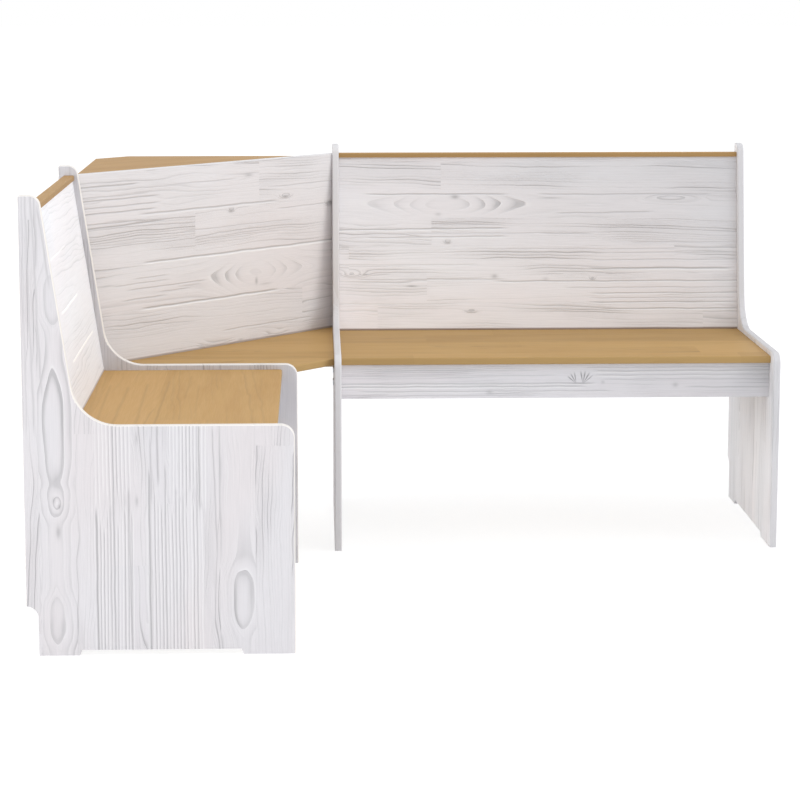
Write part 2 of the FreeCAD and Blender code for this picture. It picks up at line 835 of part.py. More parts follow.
board_dowel = dowel("board_dowels", size.dowel_radius, size.dowel_length)
small_dowel = dowel("small_dowels", size.small_dowel_radius, size.small_dowel_length)
cleat_screw = wood_screw("cleat_screws", size.cleat_screw_length)
seat_screw = wood_screw("seat_screws", size.seat_screw_length)
back_screw = wood_screw("back_screws", size.back_screw_length)


# Where the fasteners go

UP = Vector(0, 0, 1)


def between(low, high, share):
    return low + (high - low) * share


def cam_joint(face, inward, through, panel, board):
    """A cam bolt in the panel's face, and the cam lock that holds its head in the board.

    The face is the point between the two, on the board's middle line, and through is the
    direction from the board's back to its front.
    """
    cam_bolt.put(face - inward * size.cam_bolt_thread_length.value, inward, (panel, board))
    back = face - through * (size.board.value / 2)
    cam_lock.put(back + inward * size.cam_reach.value, through, (board,), side=-inward)


for bench in (LONG, SHORT):
    corner_panel = f"{bench.name}_bench_corner_panel"
    end_panel = f"{bench.name}_bench_end_panel"
    outward = bench.outward
    forward = bench.forward

    # Rails: bolts from the corner side, a cam lock and two dowels at the outer end
    for place, rail_face in (("front", RAIL_FRONT), ("rear", size.seat_rear + size.board)):
        rail = f"{bench.name}_{place}_rail"
        middle = rail_face - size.board / 2
        back = rail_face - size.board
        for drop in (size.bolt_upper_drop, size.bolt_lower_drop):
            height = SEAT_BOTTOM - drop
            head = bench.spot(middle, height, -size.board - size.bolt_head_height)
            rail_bolt.put(head, outward, (corner_panel, rail))
            nut_run = size.bolt_length - size.board - size.nut_radius
            barrel_nut.put(bench.spot(back, height, nut_run), forward, (rail,), side=outward)
        height = RAIL_BOTTOM + size.rail_height / 2
        face = bench.spot(middle, height, bench.run)
        cam_joint(face, -outward, forward, end_panel, rail)
        for lift in (size.dowel_spread, -size.dowel_spread):
            start = bench.spot(middle, height + lift, bench.run + size.dowel_in_panel)
            board_dowel.put(start, -outward, (end_panel, rail))

    # Backrests: two dowels and two cam locks at each end, the cams let in from behind
    back_board = f"{bench.name}_backrest"
    lean = (forward + UP * SLOPE.value).normalize()
    for panel, run, inward in (
        (corner_panel, NONE, outward),
        (end_panel, bench.run, -outward),
    ):
        for share in BACK_DOWEL_SHARES:
            height = between(size.seat_height, CAP_BOTTOM, share)
            face = bench.spot(back_middle(height), height, run)
            start = face - inward * size.dowel_in_panel.value
            board_dowel.put(start, inward, (panel, back_board))
        for share in BACK_CAM_SHARES:
            height = between(size.seat_height, CAP_BOTTOM, share)
            face = bench.spot(back_middle(height), height, run)
            cam_joint(face, inward, lean, panel, back_board)

    # Seats: screwed up through their cleats, and up into the backrest
    seat_board = f"{bench.name}_seat"
    for place, panel, run, inward in (
        ("corner", corner_panel, NONE, outward),
        ("end", end_panel, bench.run, -outward),
    ):
        cleat = f"{bench.name}_seat_{place}_cleat"
        middle_height = SEAT_BOTTOM - size.cleat_height / 2
        for share in SEAT_CLEAT_SCREW_SHARES:
            depth = between(CLEAT_REAR, CLEAT_FRONT, share)
            start = bench.spot(depth, middle_height, run) + inward * size.cleat_thickness.value
            cleat_screw.put(start, -inward, (cleat, panel))
        for share in SEAT_SCREW_SHARES:
            depth = between(CLEAT_REAR, CLEAT_FRONT, share)
            start = bench.spot(depth, SEAT_BOTTOM - size.cleat_height, run)
            start = start + inward * (size.cleat_thickness.value / 2)
            seat_screw.put(start, UP, (cleat, seat_board))
    back_shares = LONG_BACK_SCREW_SHARES if bench is LONG else SHORT_BACK_SCREW_SHARES
    for share in back_shares:
        start = bench.spot(back_middle(size.seat_height), SEAT_BOTTOM, bench.run * share)
        back_screw.put(start, UP, (seat_board, back_board))

    # Caps: dowels up from the backrest
    cap_shares = LONG_CAP_DOWEL_SHARES if bench is LONG else SHORT_CAP_DOWEL_SHARES
    for share in cap_shares:
        foot = CAP_BOTTOM + size.small_dowel_in_cap - size.small_dowel_length
        start = bench.spot(back_middle(CAP_BOTTOM), foot, bench.run * share)
        small_dowel.put(start, UP, (back_board, f"{bench.name}_top_cap"))

# Corner unit: cleats and battens screwed to the two corner panels
DIAGONAL_OUT = Vector(1, -1, 0).normalize()


def corner_side(side, from_wall_along, from_panel, height):
    """A point of the corner unit, by its distance along one panel's face and away from it."""
    off = size.corner_width - from_panel
    if side == "short":
        return CORNER.point(off, from_wall_along, height)
    return CORNER.point(from_wall_along, off, height)


for side, panel, into_panel in (
    ("short", "short_bench_corner_panel", Vector(0, -1, 0)),
    ("long", "long_bench_corner_panel", Vector(1, 0, 0)),
):
    cleat = f"corner_seat_{side}_side_cleat"
    batten = f"corner_back_{side}_side_batten"
    for share in CORNER_CLEAT_SCREW_SHARES:
        along = between(CLEAT_REAR, CORNER_CLEAT_FRONT, share)
        height = SEAT_BOTTOM - size.cleat_height / 2
        start = corner_side(side, along, size.cleat_thickness, height)
        cleat_screw.put(start, into_panel, (cleat, panel))
    for share in CORNER_SEAT_SCREW_SHARES:
        along = between(CLEAT_REAR, CORNER_CLEAT_FRONT, share)
        start = corner_side(side, along, size.cleat_thickness / 2, SEAT_BOTTOM - size.cleat_height)
        seat_screw.put(start, UP, (cleat, "corner_seat"))
    for share in CORNER_BATTEN_SCREW_SHARES:
        height = between(SEAT_BOTTOM, SHELF_BOTTOM, share)
        along = (CORNER_BACK_REAR - size.corner_width) / 2
        start = corner_side(side, along, size.cleat_thickness, height)
        cleat_screw.put(start, into_panel, (batten, panel))
    for share in CORNER_BATTEN_DOWEL_SHARES:
        height = between(SEAT_BOTTOM, SHELF_BOTTOM, share)
        off = size.cleat_thickness / 2
        bevel = corner_side(side, CORNER_BACK_REAR - size.corner_width + off, off, height)
        start = bevel - DIAGONAL_OUT * (size.small_dowel_length.value / 2)
        small_dowel.put(start, DIAGONAL_OUT, (batten, "corner_backrest"))

# Corner backrest: screws up through the seat, and the shelf batten behind it
for share in LONG_BACK_SCREW_SHARES:
    middle_line = (CORNER_BACK_FRONT + CORNER_BACK_REAR) / 2
    along = between(middle_line - CORNER_EDGE, CORNER_EDGE, share)
    start = CORNER.point(middle_line - along, along, SEAT_BOTTOM)
    back_screw.put(start, UP, ("corner_seat", "corner_backrest"))
for share in SHELF_BATTEN_SCREW_SHARES:
    along = between(HALF_REAR - BATTEN_HALF, HALF_REAR + BATTEN_HALF, share)
    height = SHELF_BOTTOM - size.cleat_height / 2
    start = CORNER.point(CORNER_BACK_REAR - along, along, height)
    start = start - DIAGONAL_OUT * size.cleat_thickness.value
    cleat_screw.put(start, DIAGONAL_OUT, ("shelf_batten", "corner_backrest"))
for share in SHELF_SCREW_SHARES:
    along = between(HALF_REAR - BATTEN_HALF, HALF_REAR + BATTEN_HALF, share)
    foot = SHELF_BOTTOM - size.cleat_height
    start = CORNER.point(CORNER_BACK_REAR - along, along, foot)
    start = start - DIAGONAL_OUT * (size.cleat_thickness.value / 2)
    seat_screw.put(start, UP, ("shelf_batten", "corner_top_shelf"))


# Sub-parts: the drilled boards, and each kind of fastener as one group of solids


def placed(shape, place):
    copy = shape.copy()
    copy.Placement = place.multiply(copy.Placement)
    return copy


doc.recompute()
subparts = []
for label, blank in blanks.items():
    holes = [
        placed(kind.hole.Shape, place)
        for kind in Fastener.kinds
        for place in kind.drilled[label]
    ]
    drills = doc.addObject("Part::Feature", f"{label}_drills")
    drills.Shape = holes[0].multiFuse(holes[1:]) if len(holes) > 1 else holes[0]
    board = cut(label, blank, drills)
    board.Label = label
    if not board.Shape.Volume < blank.Shape.Volume:
        raise RuntimeError(f"{label}: drilling took nothing away")
    subparts.append((board, 1))

for kind in Fastener.kinds:
    group = doc.addObject("Part::Feature", kind.label)
    group.Shape = Part.makeCompound([placed(kind.pattern.Shape, place) for place in kind.places])
    group.Label = kind.label
    subparts.append((group, len(kind.places)))
doc.recompute()

# Checks before anything is written
for thing in doc.Objects:
    if "Invalid" in thing.State or "Error" in thing.State:
        raise RuntimeError(f"{thing.Label}: {thing.State}")
for part, count in subparts:
    if part.Shape.isNull() or not part.Shape.isValid():
        raise RuntimeError(f"{part.Label}: its shape is not valid")
    if len(part.Shape.Solids) != count:
        raise RuntimeError(f"{part.Label}: {len(part.Shape.Solids)} solids, not {count}")

os.makedirs("parts", exist_ok=True)
for part, count in subparts:
    part.Shape.exportStep(f"parts/{part.Label}.step")
    print(f"{part.Label}: {count} solids, {part.Shape.Volume:.0f} cubic millimetres")
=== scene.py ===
# %% [markdown]
# # A corner bench in white and honey pine
#
# Two straight benches meet at a corner seat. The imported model, loaded first,
# brings every board, bolt, dowel and screw at its real size and place. What
# is left to do here is the looks: white wax and honey stain on pine, raw
# pine, beech, metal, and the light.

# %% Load the model
import math
from dataclasses import dataclass
from types import SimpleNamespace

import bpy
import numpy as np
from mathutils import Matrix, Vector


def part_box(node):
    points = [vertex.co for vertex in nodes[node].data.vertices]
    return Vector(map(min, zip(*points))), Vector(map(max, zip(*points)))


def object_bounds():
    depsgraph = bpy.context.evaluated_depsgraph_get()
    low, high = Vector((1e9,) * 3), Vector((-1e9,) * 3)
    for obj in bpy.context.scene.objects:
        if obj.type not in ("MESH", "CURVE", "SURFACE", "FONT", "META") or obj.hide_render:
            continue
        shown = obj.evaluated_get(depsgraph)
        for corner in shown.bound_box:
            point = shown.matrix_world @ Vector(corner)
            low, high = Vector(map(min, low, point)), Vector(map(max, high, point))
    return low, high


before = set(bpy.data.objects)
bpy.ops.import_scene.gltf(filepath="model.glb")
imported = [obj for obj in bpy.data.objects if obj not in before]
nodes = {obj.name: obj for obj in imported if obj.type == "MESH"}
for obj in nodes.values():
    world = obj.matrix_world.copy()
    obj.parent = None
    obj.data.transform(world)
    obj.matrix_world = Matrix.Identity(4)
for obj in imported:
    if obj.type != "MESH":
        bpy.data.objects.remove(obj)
model_box = [list(map(float, corner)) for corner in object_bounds()]
print("boards and fittings:", len(nodes))
print("box of the bench in metres:", np.round(model_box, 3).tolist())

# %% [markdown]
# ## The camera
#
# The bench is seen from in front, a little to the left of its middle and
# slightly from above, through a long lens. A view camera would stay level
# and shift its lens far down, to keep the panels upright on the picture. A
# part of that is done here: the camera looks down by 7.6 degrees and the
# shift does the rest, so that the same lens also frames the bench from its
# other sides. Film and lens are in millimetres, the shifts in widths of the
# picture, the place in metres and the turns in radians.

# %% Set the camera
FILM_WIDTH = 36.0
LENS = 96.49
SHIFT_RIGHT = 0.0235
SHIFT_DOWN = 0.17
CAMERA_PLACE = (-0.2306, -4.3498, 1.2109)
LOOK_DOWN = 0.1323
TURN_RIGHT = 0.0306

camera_data = bpy.data.cameras.new("camera")
camera_data.sensor_width = FILM_WIDTH
camera_data.lens = LENS
camera_data.shift_x = SHIFT_RIGHT
camera_data.shift_y = -SHIFT_DOWN
camera = bpy.data.objects.new("camera", camera_data)
camera.location = CAMERA_PLACE
camera.rotation_euler = (math.pi / 2 - LOOK_DOWN, 0.0, -TURN_RIGHT)
bpy.context.scene.collection.objects.link(camera)
bpy.context.scene.camera = camera
bpy.context.scene.view_settings.view_transform = "Standard"
print("lens in mm:", LENS, "distance in m:", round(camera.location.length, 2))

# %% [markdown]
# ## The lamps
#
# A photographer would light white furniture with a large soft lamp in a
# bright room. The key lamp stands high up on the right and gives the boards
# that face right the brightest white. It is large, so its shadows are soft,
# and far away, so that both ends of the bench get nearly the same light. A
# small lamp low on the left fills the faces that the key lamp misses, and
# shines under the seats.

# %% Hang the lamps
def area_lamp(name, place, aim, width, height, power):
    """A flat rectangular lamp at a place, turned so that it faces its aim.
    Places and sizes are metres, and the power is watts."""
    data = bpy.data.lights.new(name, "AREA")
    data.shape = "RECTANGLE"
    data.size = width
    data.size_y = height
    data.energy = power
    lamp = bpy.data.objects.new(name, data)
    lamp.location = place
    lamp.rotation_euler = (Vector(aim) - Vector(place)).to_track_quat("-Z", "Y").to_euler()
    bpy.context.scene.collection.objects.link(lamp)
    return lamp


key = {"place": (12.8, -3.6, 6.4), "aim": (-0.2, 0.0, 0.45)}
left = {"place": (-7.2, -3.2, 0.55), "aim": (0.2, 0.0, 0.25)}
lamps = [
    area_lamp("key_lamp", **key, width=9.0, height=9.0, power=610),
    area_lamp("left_lamp", **left, width=3.0, height=1.0, power=225),
]
print("lamps:", [lamp.name for lamp in lamps])

# %% [markdown]
# ## Formulas in nodes
#
# The white of the room, the wax and the wood are patterns of a few numbers
# worked out at each point. Blender does that with nodes, which are hard to
# read in long chains. So here a value is what comes out of one node, and a
# plain sign between two values adds the node that works it out.

# %% Values that can be added and multiplied
class Value:
    """What comes out of one node."""

    def __init__(self, wiring, socket):
        self.wiring = wiring
        self.socket = socket

    def __rsub__(self, other):
        return self.wiring.math("SUBTRACT", other, self)

    def fade(self, pace=1.0):
        """e to the minus pace times the value."""
        return self.wiring.math("EXPONENT", self * -pace)

    def spread(self, low, high, to_low=0.0, to_high=1.0):
        """Maps low to high onto another range, along a smooth step."""
        inputs = {"Value": self, "From Min": low, "From Max": high, "To Min": to_low, "To Max": to_high}
        return self.wiring.value("MapRange", "Result", inputs, interpolation_type="SMOOTHSTEP")


def sign(operation):
    """A method that adds the node for one operation on one or two values."""
    def work(self, *other):
        return self.wiring.math(operation, self, *other)
    return work


OPERATIONS = {
    "__add__": "ADD", "__radd__": "ADD", "__sub__": "SUBTRACT", "__mul__": "MULTIPLY",
    "__rmul__": "MULTIPLY", "__truediv__": "DIVIDE", "larger": "MAXIMUM", "smaller": "MINIMUM",
    "whole": "FLOOR", "size": "ABSOLUTE", "root": "SQRT",
}
for name, operation in OPERATIONS.items():
    setattr(Value, name, sign(operation))


def most(first, second):
    """The larger of two values, where the first may be missing."""
    return second if first is None else first.larger(second)


print("signs between values:", len(OPERATIONS))

# %% [markdown]
# ## The wiring
#
# A world and a material both hold a tree of nodes, so one helper makes and
# joins the nodes of either. It is told by name what goes into a node.

# %% Add and join nodes
class Wiring:
    """Adds nodes to one tree, which it empties first."""

    def __init__(self, tree):
        self.tree = tree
        tree.nodes.clear()

    def node(self, kind, inputs=(), **options):
        """One new shader node with its options set. Its inputs, given by
        name or number, are joined to values or set to plain numbers."""
        made = self.tree.nodes.new("ShaderNode" + kind)
        for option, setting in options.items():
            setattr(made, option, setting)
        for name, given in dict(inputs).items():
            if isinstance(given, Value):
                self.tree.links.new(given.socket, made.inputs[name])
            else:
                made.inputs[name].default_value = given
        return made

    def value(self, kind, outlet, inputs=(), **options):
        """What comes out of one outlet of one new node."""
        return Value(self, self.node(kind, inputs, **options).outputs[outlet])

    def math(self, operation, *values):
        return self.value("Math", 0, dict(enumerate(values)), operation=operation)

    def pair(self, operation, a, b, outlet=0):
        """One operation on two vectors."""
        return self.value("VectorMath", outlet, {0: a, 1: b}, operation=operation)

    def dot(self, a, b):
        return self.pair("DOT_PRODUCT", a, b, "Value")

    def stretch(self, a, b):
        return self.pair("MULTIPLY", a, b)

    def shift(self, a, b):
        return self.pair("ADD", a, b)

    def vector(self, x, y, z):
        return self.value("CombineXYZ", 0, {"X": x, "Y": y, "Z": z})


print("wiring ready")

# %% [markdown]
# ## The room
#
# The room is plain white, and lights the bench from all round a little below
# full white, with a breath of blue. The camera, and what mirrors or lets
# light through, sees full white, however much light the bench gets.

# %% Paint the room
WHITE = (1.0, 1.0, 1.0, 1.0)
ROOM_LIGHT = (0.96, 0.98, 1.0, 1.0)
ROOM_STRENGTH = 0.985

world = bpy.data.worlds.new("white_room")
bpy.context.scene.world = world
world.use_nodes = True
room = Wiring(world.node_tree)
rays = room.node("LightPath").outputs
seen = None
for kind in ("Is Camera Ray", "Is Glossy Ray", "Is Transmission Ray"):
    seen = most(seen, Value(room, rays[kind]))
lit = room.value("Background", 0, {"Color": ROOM_LIGHT, "Strength": ROOM_STRENGTH})
shown = room.value("Background", 0, {"Color": WHITE, "Strength": 1.0})
picked = room.value("MixShader", 0, {0: seen, 1: lit, 2: shown})
room.node("OutputWorld", {"Surface": picked})
print("room light:", ROOM_STRENGTH)

# %% [markdown]
# ## The floor
#
# The floor is a plain pale sheet. Seen from the camera it gives off most of
# its white by itself and takes the rest from the lamps, so it runs into the
# room without a line, and still shows the soft shadow of the bench. To every
# other ray it is plain white paint.

# %% Lay the floor
FLOOR_WIDTH = 60.0
FLOOR_CENTRE = (0.0, 20.0)
FLOOR_PAINT = (0.86, 0.86, 0.87, 1.0)
THIN_PAINT = (0.34, 0.34, 0.34, 1.0)
FLOOR_GLOW = 0.76


def sheet(name, width, depth, centre):
    """A flat rectangle on the ground: x = centre x + width times s, y =
    centre y + depth times t, for s and t from minus a half to a half."""
    s, t = np.meshgrid([-0.5, 0.5], [-0.5, 0.5])
    points = np.stack([centre[0] + width * s, centre[1] + depth * t, 0 * s], axis=-1)
    mesh = bpy.data.meshes.new(name)
    mesh.from_pydata(points.reshape(-1, 3).tolist(), [], [(0, 1, 3, 2)])
    piece = bpy.data.objects.new(name, mesh)
    bpy.context.scene.collection.objects.link(piece)
    return piece


floor = sheet("floor", FLOOR_WIDTH, FLOOR_WIDTH, FLOOR_CENTRE)
paint = bpy.data.materials.new("floor_white")
paint.use_nodes = True
brush = Wiring(paint.node_tree)
camera_ray = brush.value("LightPath", "Is Camera Ray")
plain = brush.value("BsdfDiffuse", 0, {"Color": FLOOR_PAINT})
thin = brush.value("BsdfDiffuse", 0, {"Color": THIN_PAINT})
glow = brush.value("Emission", 0, {"Color": WHITE, "Strength": FLOOR_GLOW})
both = brush.value("AddShader", 0, {0: thin, 1: glow})
picked = brush.value("MixShader", 0, {0: camera_ray, 1: plain, 2: both})
brush.node("OutputMaterial", {"Surface": picked})
floor.data.materials.append(paint)
print("floor laid, metres wide:", FLOOR_WIDTH)

# %% [markdown]
# ## A finish
#
# Every finish is one material: a colour, a roughness and a slight relief. It
# starts from one colour and lays others over it. Noise makes them uneven, as
# on a real board, and dice give each stave and each ring a character of its
# own. White noise makes good dice: the same place always throws the same.

# %% What a finish is made of
class Finish(Wiring):
    """One new material, with the colour that has been laid on so far."""

    def __init__(self, name, colour):
        self.material = bpy.data.materials.new(name)
        self.material.use_nodes = True
        self.colour = colour
        super().__init__(self.material.node_tree)

    def noise(self, place, detail=2.0, roughness=0.5):
        """Soft noise from 0 to 1 at a place that is already scaled."""
        inputs = {"Vector": place, "Scale": 1.0, "Detail": detail, "Roughness": roughness}
        return self.value("TexNoise", "Fac", inputs)

    def dice(self, x, y, z):
        """Three random numbers from 0 to 1, the same for the same place."""
        inputs = {"Vector": self.vector(x, y, z)}
        thrown = self.value("TexWhiteNoise", "Color", inputs, noise_dimensions="3D")
        return [Value(self, part) for part in self.node("SeparateXYZ", {0: thrown}).outputs]

    def blend(self, share, first, second):
        """A colour between two colours: share 0 gives the first."""
        return self.value("Mix", 2, {0: share, 6: first, 7: second}, data_type="RGBA")

    def lay(self, share, colour):
        """Lays a colour over the one so far, which a share of 1 hides."""
        self.colour = self.blend(share, self.colour, colour)

    def dim(self, share):
        """Leaves a share of each of the colour's three parts."""
        self.colour = self.stretch(self.colour, self.vector(share, share, share))

    def surface(self, roughness, height, depth, specular, metallic=0.0):
        """The shader. The height, in parts of a depth in metres, only tilts
        the light on the surface."""
        relief = {"Strength": 1.0, "Distance": depth, "Height": height}
        inputs = {
            "Base Color": self.colour, "Roughness": roughness,
            "Specular IOR Level": specular, "Metallic": metallic,
            "Normal": self.value("Bump", "Normal", relief),
        }
        shader = self.value("BsdfPrincipled", 0, inputs)
        self.node("OutputMaterial", {"Surface": shader})
        return self.material


print("finish helper ready")

# %% [markdown]
# ## How a board grows its grain
#
# A pine board is glued up from staves as wide as two fingers, and each stave
# from shorter blocks, finger-jointed end to end. Inside one block the lines
# are the yearly rings, cut lengthwise.
#
# A picture of a board would blur close up. Here the rings are worked out
# like the contour lines on a walking map. A plain slope across the board
# gives straight lines. A long low hill in it bends them round itself into
# the tall ovals of a flat-sawn board, and a small steep one gives the tight
# rings of a knot. Each block has its own slope, so the lines break at the
# joints.
#
# The figures that catch the eye are marks on that map. A mark's lengths are
# millimetres, along and across its board from the corner that its grain is
# measured from. The first two are a hill, which bends the rings, and a knot,
# which is only dark.

# %% Hills and knots
MM = 1000.0


class Mark:
    """Something that shows on one board."""

    def draw(self, u, v, w):
        """What the mark adds to the board on top of its rings, by name."""
        return {}


@dataclass
class Spot(Mark):
    """A mark with the shape of a bell, and how strong it is in its centre."""

    along: float
    across: float
    reach: float
    width: float
    strength: float

    def bell(self, u, v):
        """e to the minus r squared, where r is the distance from the spot's
        centre, counted in its reach along the board and its width across."""
        wiring = u.wiring
        centre = (-self.along / MM, -self.across / MM, 0.0)
        scale = (MM / self.reach, MM / self.width, 0.0)
        r = wiring.stretch(wiring.shift(wiring.vector(u, v, 0.0), centre), scale)
        return wiring.dot(r, r).fade()


class Hill(Spot):
    """Rings closed round a place. Its strength is their number."""


class Knot(Spot):
    """A dark spot. Its strength is how dark, from 0 to 1."""

    def draw(self, u, v, w):
        return {"dark": self.bell(u, v) * self.strength}


print("marks: hill and knot")

# %% [markdown]
# ## Arches
#
# Where a whole stave is sawn flat through the rings, they close into long
# ovals with arrow-shaped tips, one inside the other. Hills would only give
# blobs. A long ridge with a few round tops on it gives the tips and the
# straight flanks between them.

# %% Ridges that make arches
@dataclass
class Arches(Mark):
    """A stave sawn flat through the rings. Its lines are bold near the tips
    of the ovals, as far out across as the core. Hush is the share that the
    other lines lose beside a top. No line is drawn above the cap, so an oval
    can stay plain inside. Tops are (along, reach, rings, boldness of the low
    end, boldness of the high end)."""

    across: float
    width: float
    cross: float
    tops: list
    first: float = 0.6
    cap: float = 99.0
    hush: float = 0.0
    core: float = 22.0
    blunt: bool = False

    def ridge(self, u, v, wave):
        """The stave's field, how bold its lines are and how much the others
        fade. The field is first, plus rings times e to the minus s squared
        for every top, plus cross, less cross times the square root of one
        plus t squared, with s along from a top in its reach and t across in
        widths. Blunt takes the fourth power of s, for rounder ovals."""
        height = wave * 0.3 + (self.first + self.cross)
        bold = None
        beside = None
        for along, reach, rings, low_end, high_end in self.tops:
            s = (u - along / MM) * (MM / reach)
            square = s * s
            far = square * square if self.blunt else square
            top = far.fade()
            height = height + top * rings
            near = square.fade(0.36)
            tip = near * s.spread(-0.4, 0.4, low_end, high_end)
            bold = most(bold, tip * (1.0 - top * self.hush))
            beside = most(beside, near * self.hush)
        off = v - self.across / MM
        t = off * (MM / self.width)
        slope = (t * t + 1.0).root()
        field = (height - slope * self.cross).smaller(self.cap)
        r = off * (MM / self.core)
        return field, (bold * (r * r).fade()).smaller(1.0), beside


print("marks: arches")

# %% [markdown]
# ## Bursts and grooves
#
# A branch that the saw cut open lengthwise leaves a small burst of dark rays. A groove is a single line that
# the brush dug deeper than the rest, with a painted highlight along its lower side.

# %% Single lines
def window(value, start, end, soft):
    """1 between start and end, falling to 0 over a soft margin outside."""
    return value.spread(start - soft, start) * value.spread(end, end + soft, 1.0, 0.0)


@dataclass
class Burst(Mark):
    """Short dark rays that fan out between two angles, counted in degrees
    from the direction along the board. They are dark where the sine of nine
    times the angle is near nothing."""

    along: float
    across: float
    size: float
    start: float
    end: float

    def draw(self, u, v, w):
        across = v - self.across / MM
        along = u - self.along / MM
        turn = u.wiring.math("ARCTAN2", across, along)
        ray = u.wiring.math("SINE", turn * 9.0).size().spread(0.25, 0.9, 1.0, 0.0)
        reach = (along * along + across * across).root()
        size = self.size / MM
        ring = window(reach, 0.2 * size, 0.55 * size, 0.45 * size)
        sector = window(turn, math.radians(self.start), math.radians(self.end), 0.1)
        return {"dark": ray * ring * sector * 0.9}


@dataclass
class Groove(Mark):
    """A deeper line from a start to an end along the board, that climbs across it by a share of the way: e
    to the minus r squared, with r the distance from the line in widths. The lip, a painted highlight beside
    it, is the same one and a half widths lower."""

    start: float
    end: float
    across: float
    width: float
    deep: float
    climb: float = 0.0
    lip_highlight: float = 0.0

    def draw(self, u, v, w):
        climbed = (u - self.start / MM) * -self.climb
        wobble = u.wiring.noise(u.wiring.vector(u * 14.0, v, w), 1.0)
        sway = (wobble - 0.5) * 0.004
        off = v + climbed + sway - self.across / MM
        place = window(u, self.start / MM, self.end / MM, 0.035)
        found = {}
        for name, lower, strength in (("cut", 0.0, self.deep), ("lip_highlight", 1.5, self.lip_highlight)):
            if strength:
                r = off * (MM / self.width) + lower
                found[name] = (r * r).fade() * place * strength
        return found


print("marks: burst and groove")

# %% [markdown]
# ## Combs
#
# Where a stave is sawn square through the rings, they show as straight lines at an even pitch, with white
# wax and a painted highlight between them. One saw-tooth across the board draws them all: it numbers the
# lines and says how far a point is between two of them.

# %% Many even lines
@dataclass
class Comb(Mark):
    """Lines from a start to an end along the board and from low to high across it. The distance across, over
    the pitch, has a whole part, which numbers the line and picks its strength and its end, and a rest, which
    is dark near a half and bright near four fifths, the bright part a painted highlight."""

    start: float
    end: float
    low: float
    high: float
    pitch: float
    deep: float = 0.65
    lip_highlight: float = 0.4

    def draw(self, u, v, w):
        drift = u.wiring.noise(u.wiring.vector(u * 5.0, v * 9.0, w), 1.0)
        sway = (drift - 0.5) * 0.006
        count = (v - self.low / MM + sway) * (MM / self.pitch)
        number = count.whole()
        rest = count - number
        chance = u.wiring.dice(number, self.start + 0.5, self.low + 0.5)
        uneven = u + chance[1] * 0.05
        dark = rest.spread(0.22, 0.46) * rest.spread(0.50, 0.68, 1.0, 0.0)
        bright = rest.spread(0.62, 0.80) * rest.spread(0.84, 1.0, 1.0, 0.0)
        between = window(uneven, self.start / MM, self.end / MM, 0.03)
        place = between * window(v, self.low / MM, self.high / MM, 0.003)
        force = chance[0].spread(0.0, 1.0, 0.1, self.deep) * place
        return {"cut": dark * force, "lip_highlight": bright * place * self.lip_highlight, "hushed": place * 0.85}


print("marks: comb")

# %% [markdown]
# ## Where the grain runs
#
# The bench's own frame serves all the boards: the distance from a corner,
# taken in step with the grain's direction, is the distance along the board.
# So nothing has to be unwrapped, and the lines run through on every face.

# %% The places of a board
def unit(vector):
    """A direction with a length of one."""
    return np.array(vector, float) / np.linalg.norm(vector)


@dataclass
class Board:
    """Where a board's grain runs: a corner to measure from, and the directions along and across the grain,
    in the bench's frame. Stave and block are the width and length of its pieces, and first is where the
    first stave starts, all in metres. The joint value is how dark a painted contact shade is along the line
    where the board stands on another."""

    corner: tuple
    along: tuple
    across: tuple
    stave: float
    block: float
    first: float = 0.0
    marks: tuple = ()
    joint_shade: float = 0.0

    def __post_init__(self):
        self.along = unit(self.along)
        self.across = unit(self.across)
        self.through = np.cross(self.along, self.across)

    def places(self, wiring):
        """Distances along, across and through the board at each point: the
        point less the corner, in step with each direction."""
        spot = wiring.value("TexCoord", "Object")
        return [
            wiring.dot(spot, tuple(direction)) - float(np.dot(self.corner, direction))
            for direction in (self.along, self.across, self.through)
        ]

    def side(self, wiring):
        """Which broad face: 1 on the one that the third direction points out
        of and minus 1 on the other."""
        normal = wiring.value("TexCoord", "Normal")
        return wiring.dot(normal, tuple(self.through))

    def facing(self, wiring):
        """1 on the broad faces of the board and 0 on its narrow edges."""
        return self.side(wiring).size().spread(0.75, 0.97)


print("board helper ready")

# %% [markdown]
# ## Staves and blocks
#
# The first thing to work out at a point is its stave and its block. Both are
# whole numbers, so what is thrown with them stays the same over one block
# and jumps at its ends. A stave with arches is one long piece, whatever the
# dice say.

# %% Glue up a board
def glue_up(wiring, board, seed, u, v):
    """The number of the stave and of the block at each point, and for each
    stave with arches its mark, where the stave is and where it isn't. The
    stave is the whole part of the distance across over its width, and the
    block that of the distance along over its length, moved by the dice."""
    stave = ((v - board.first) / board.stave).whole()
    cast = wiring.dice(stave, float(seed), 3.0)
    block = (u / board.block + cast[0] * 7.0).whole()
    flat_sawn = []
    for mark in board.marks:
        if isinstance(mark, Arches):
            own = math.floor((mark.across / MM - board.first) / board.stave)
            inside = wiring.math("COMPARE", stave, float(own), 0.5)
            outside = 1.0 - inside
            block = block * outside + inside * 31.0
            flat_sawn.append((mark, inside, outside))
    return stave, block, flat_sawn


print("staves and blocks ready")
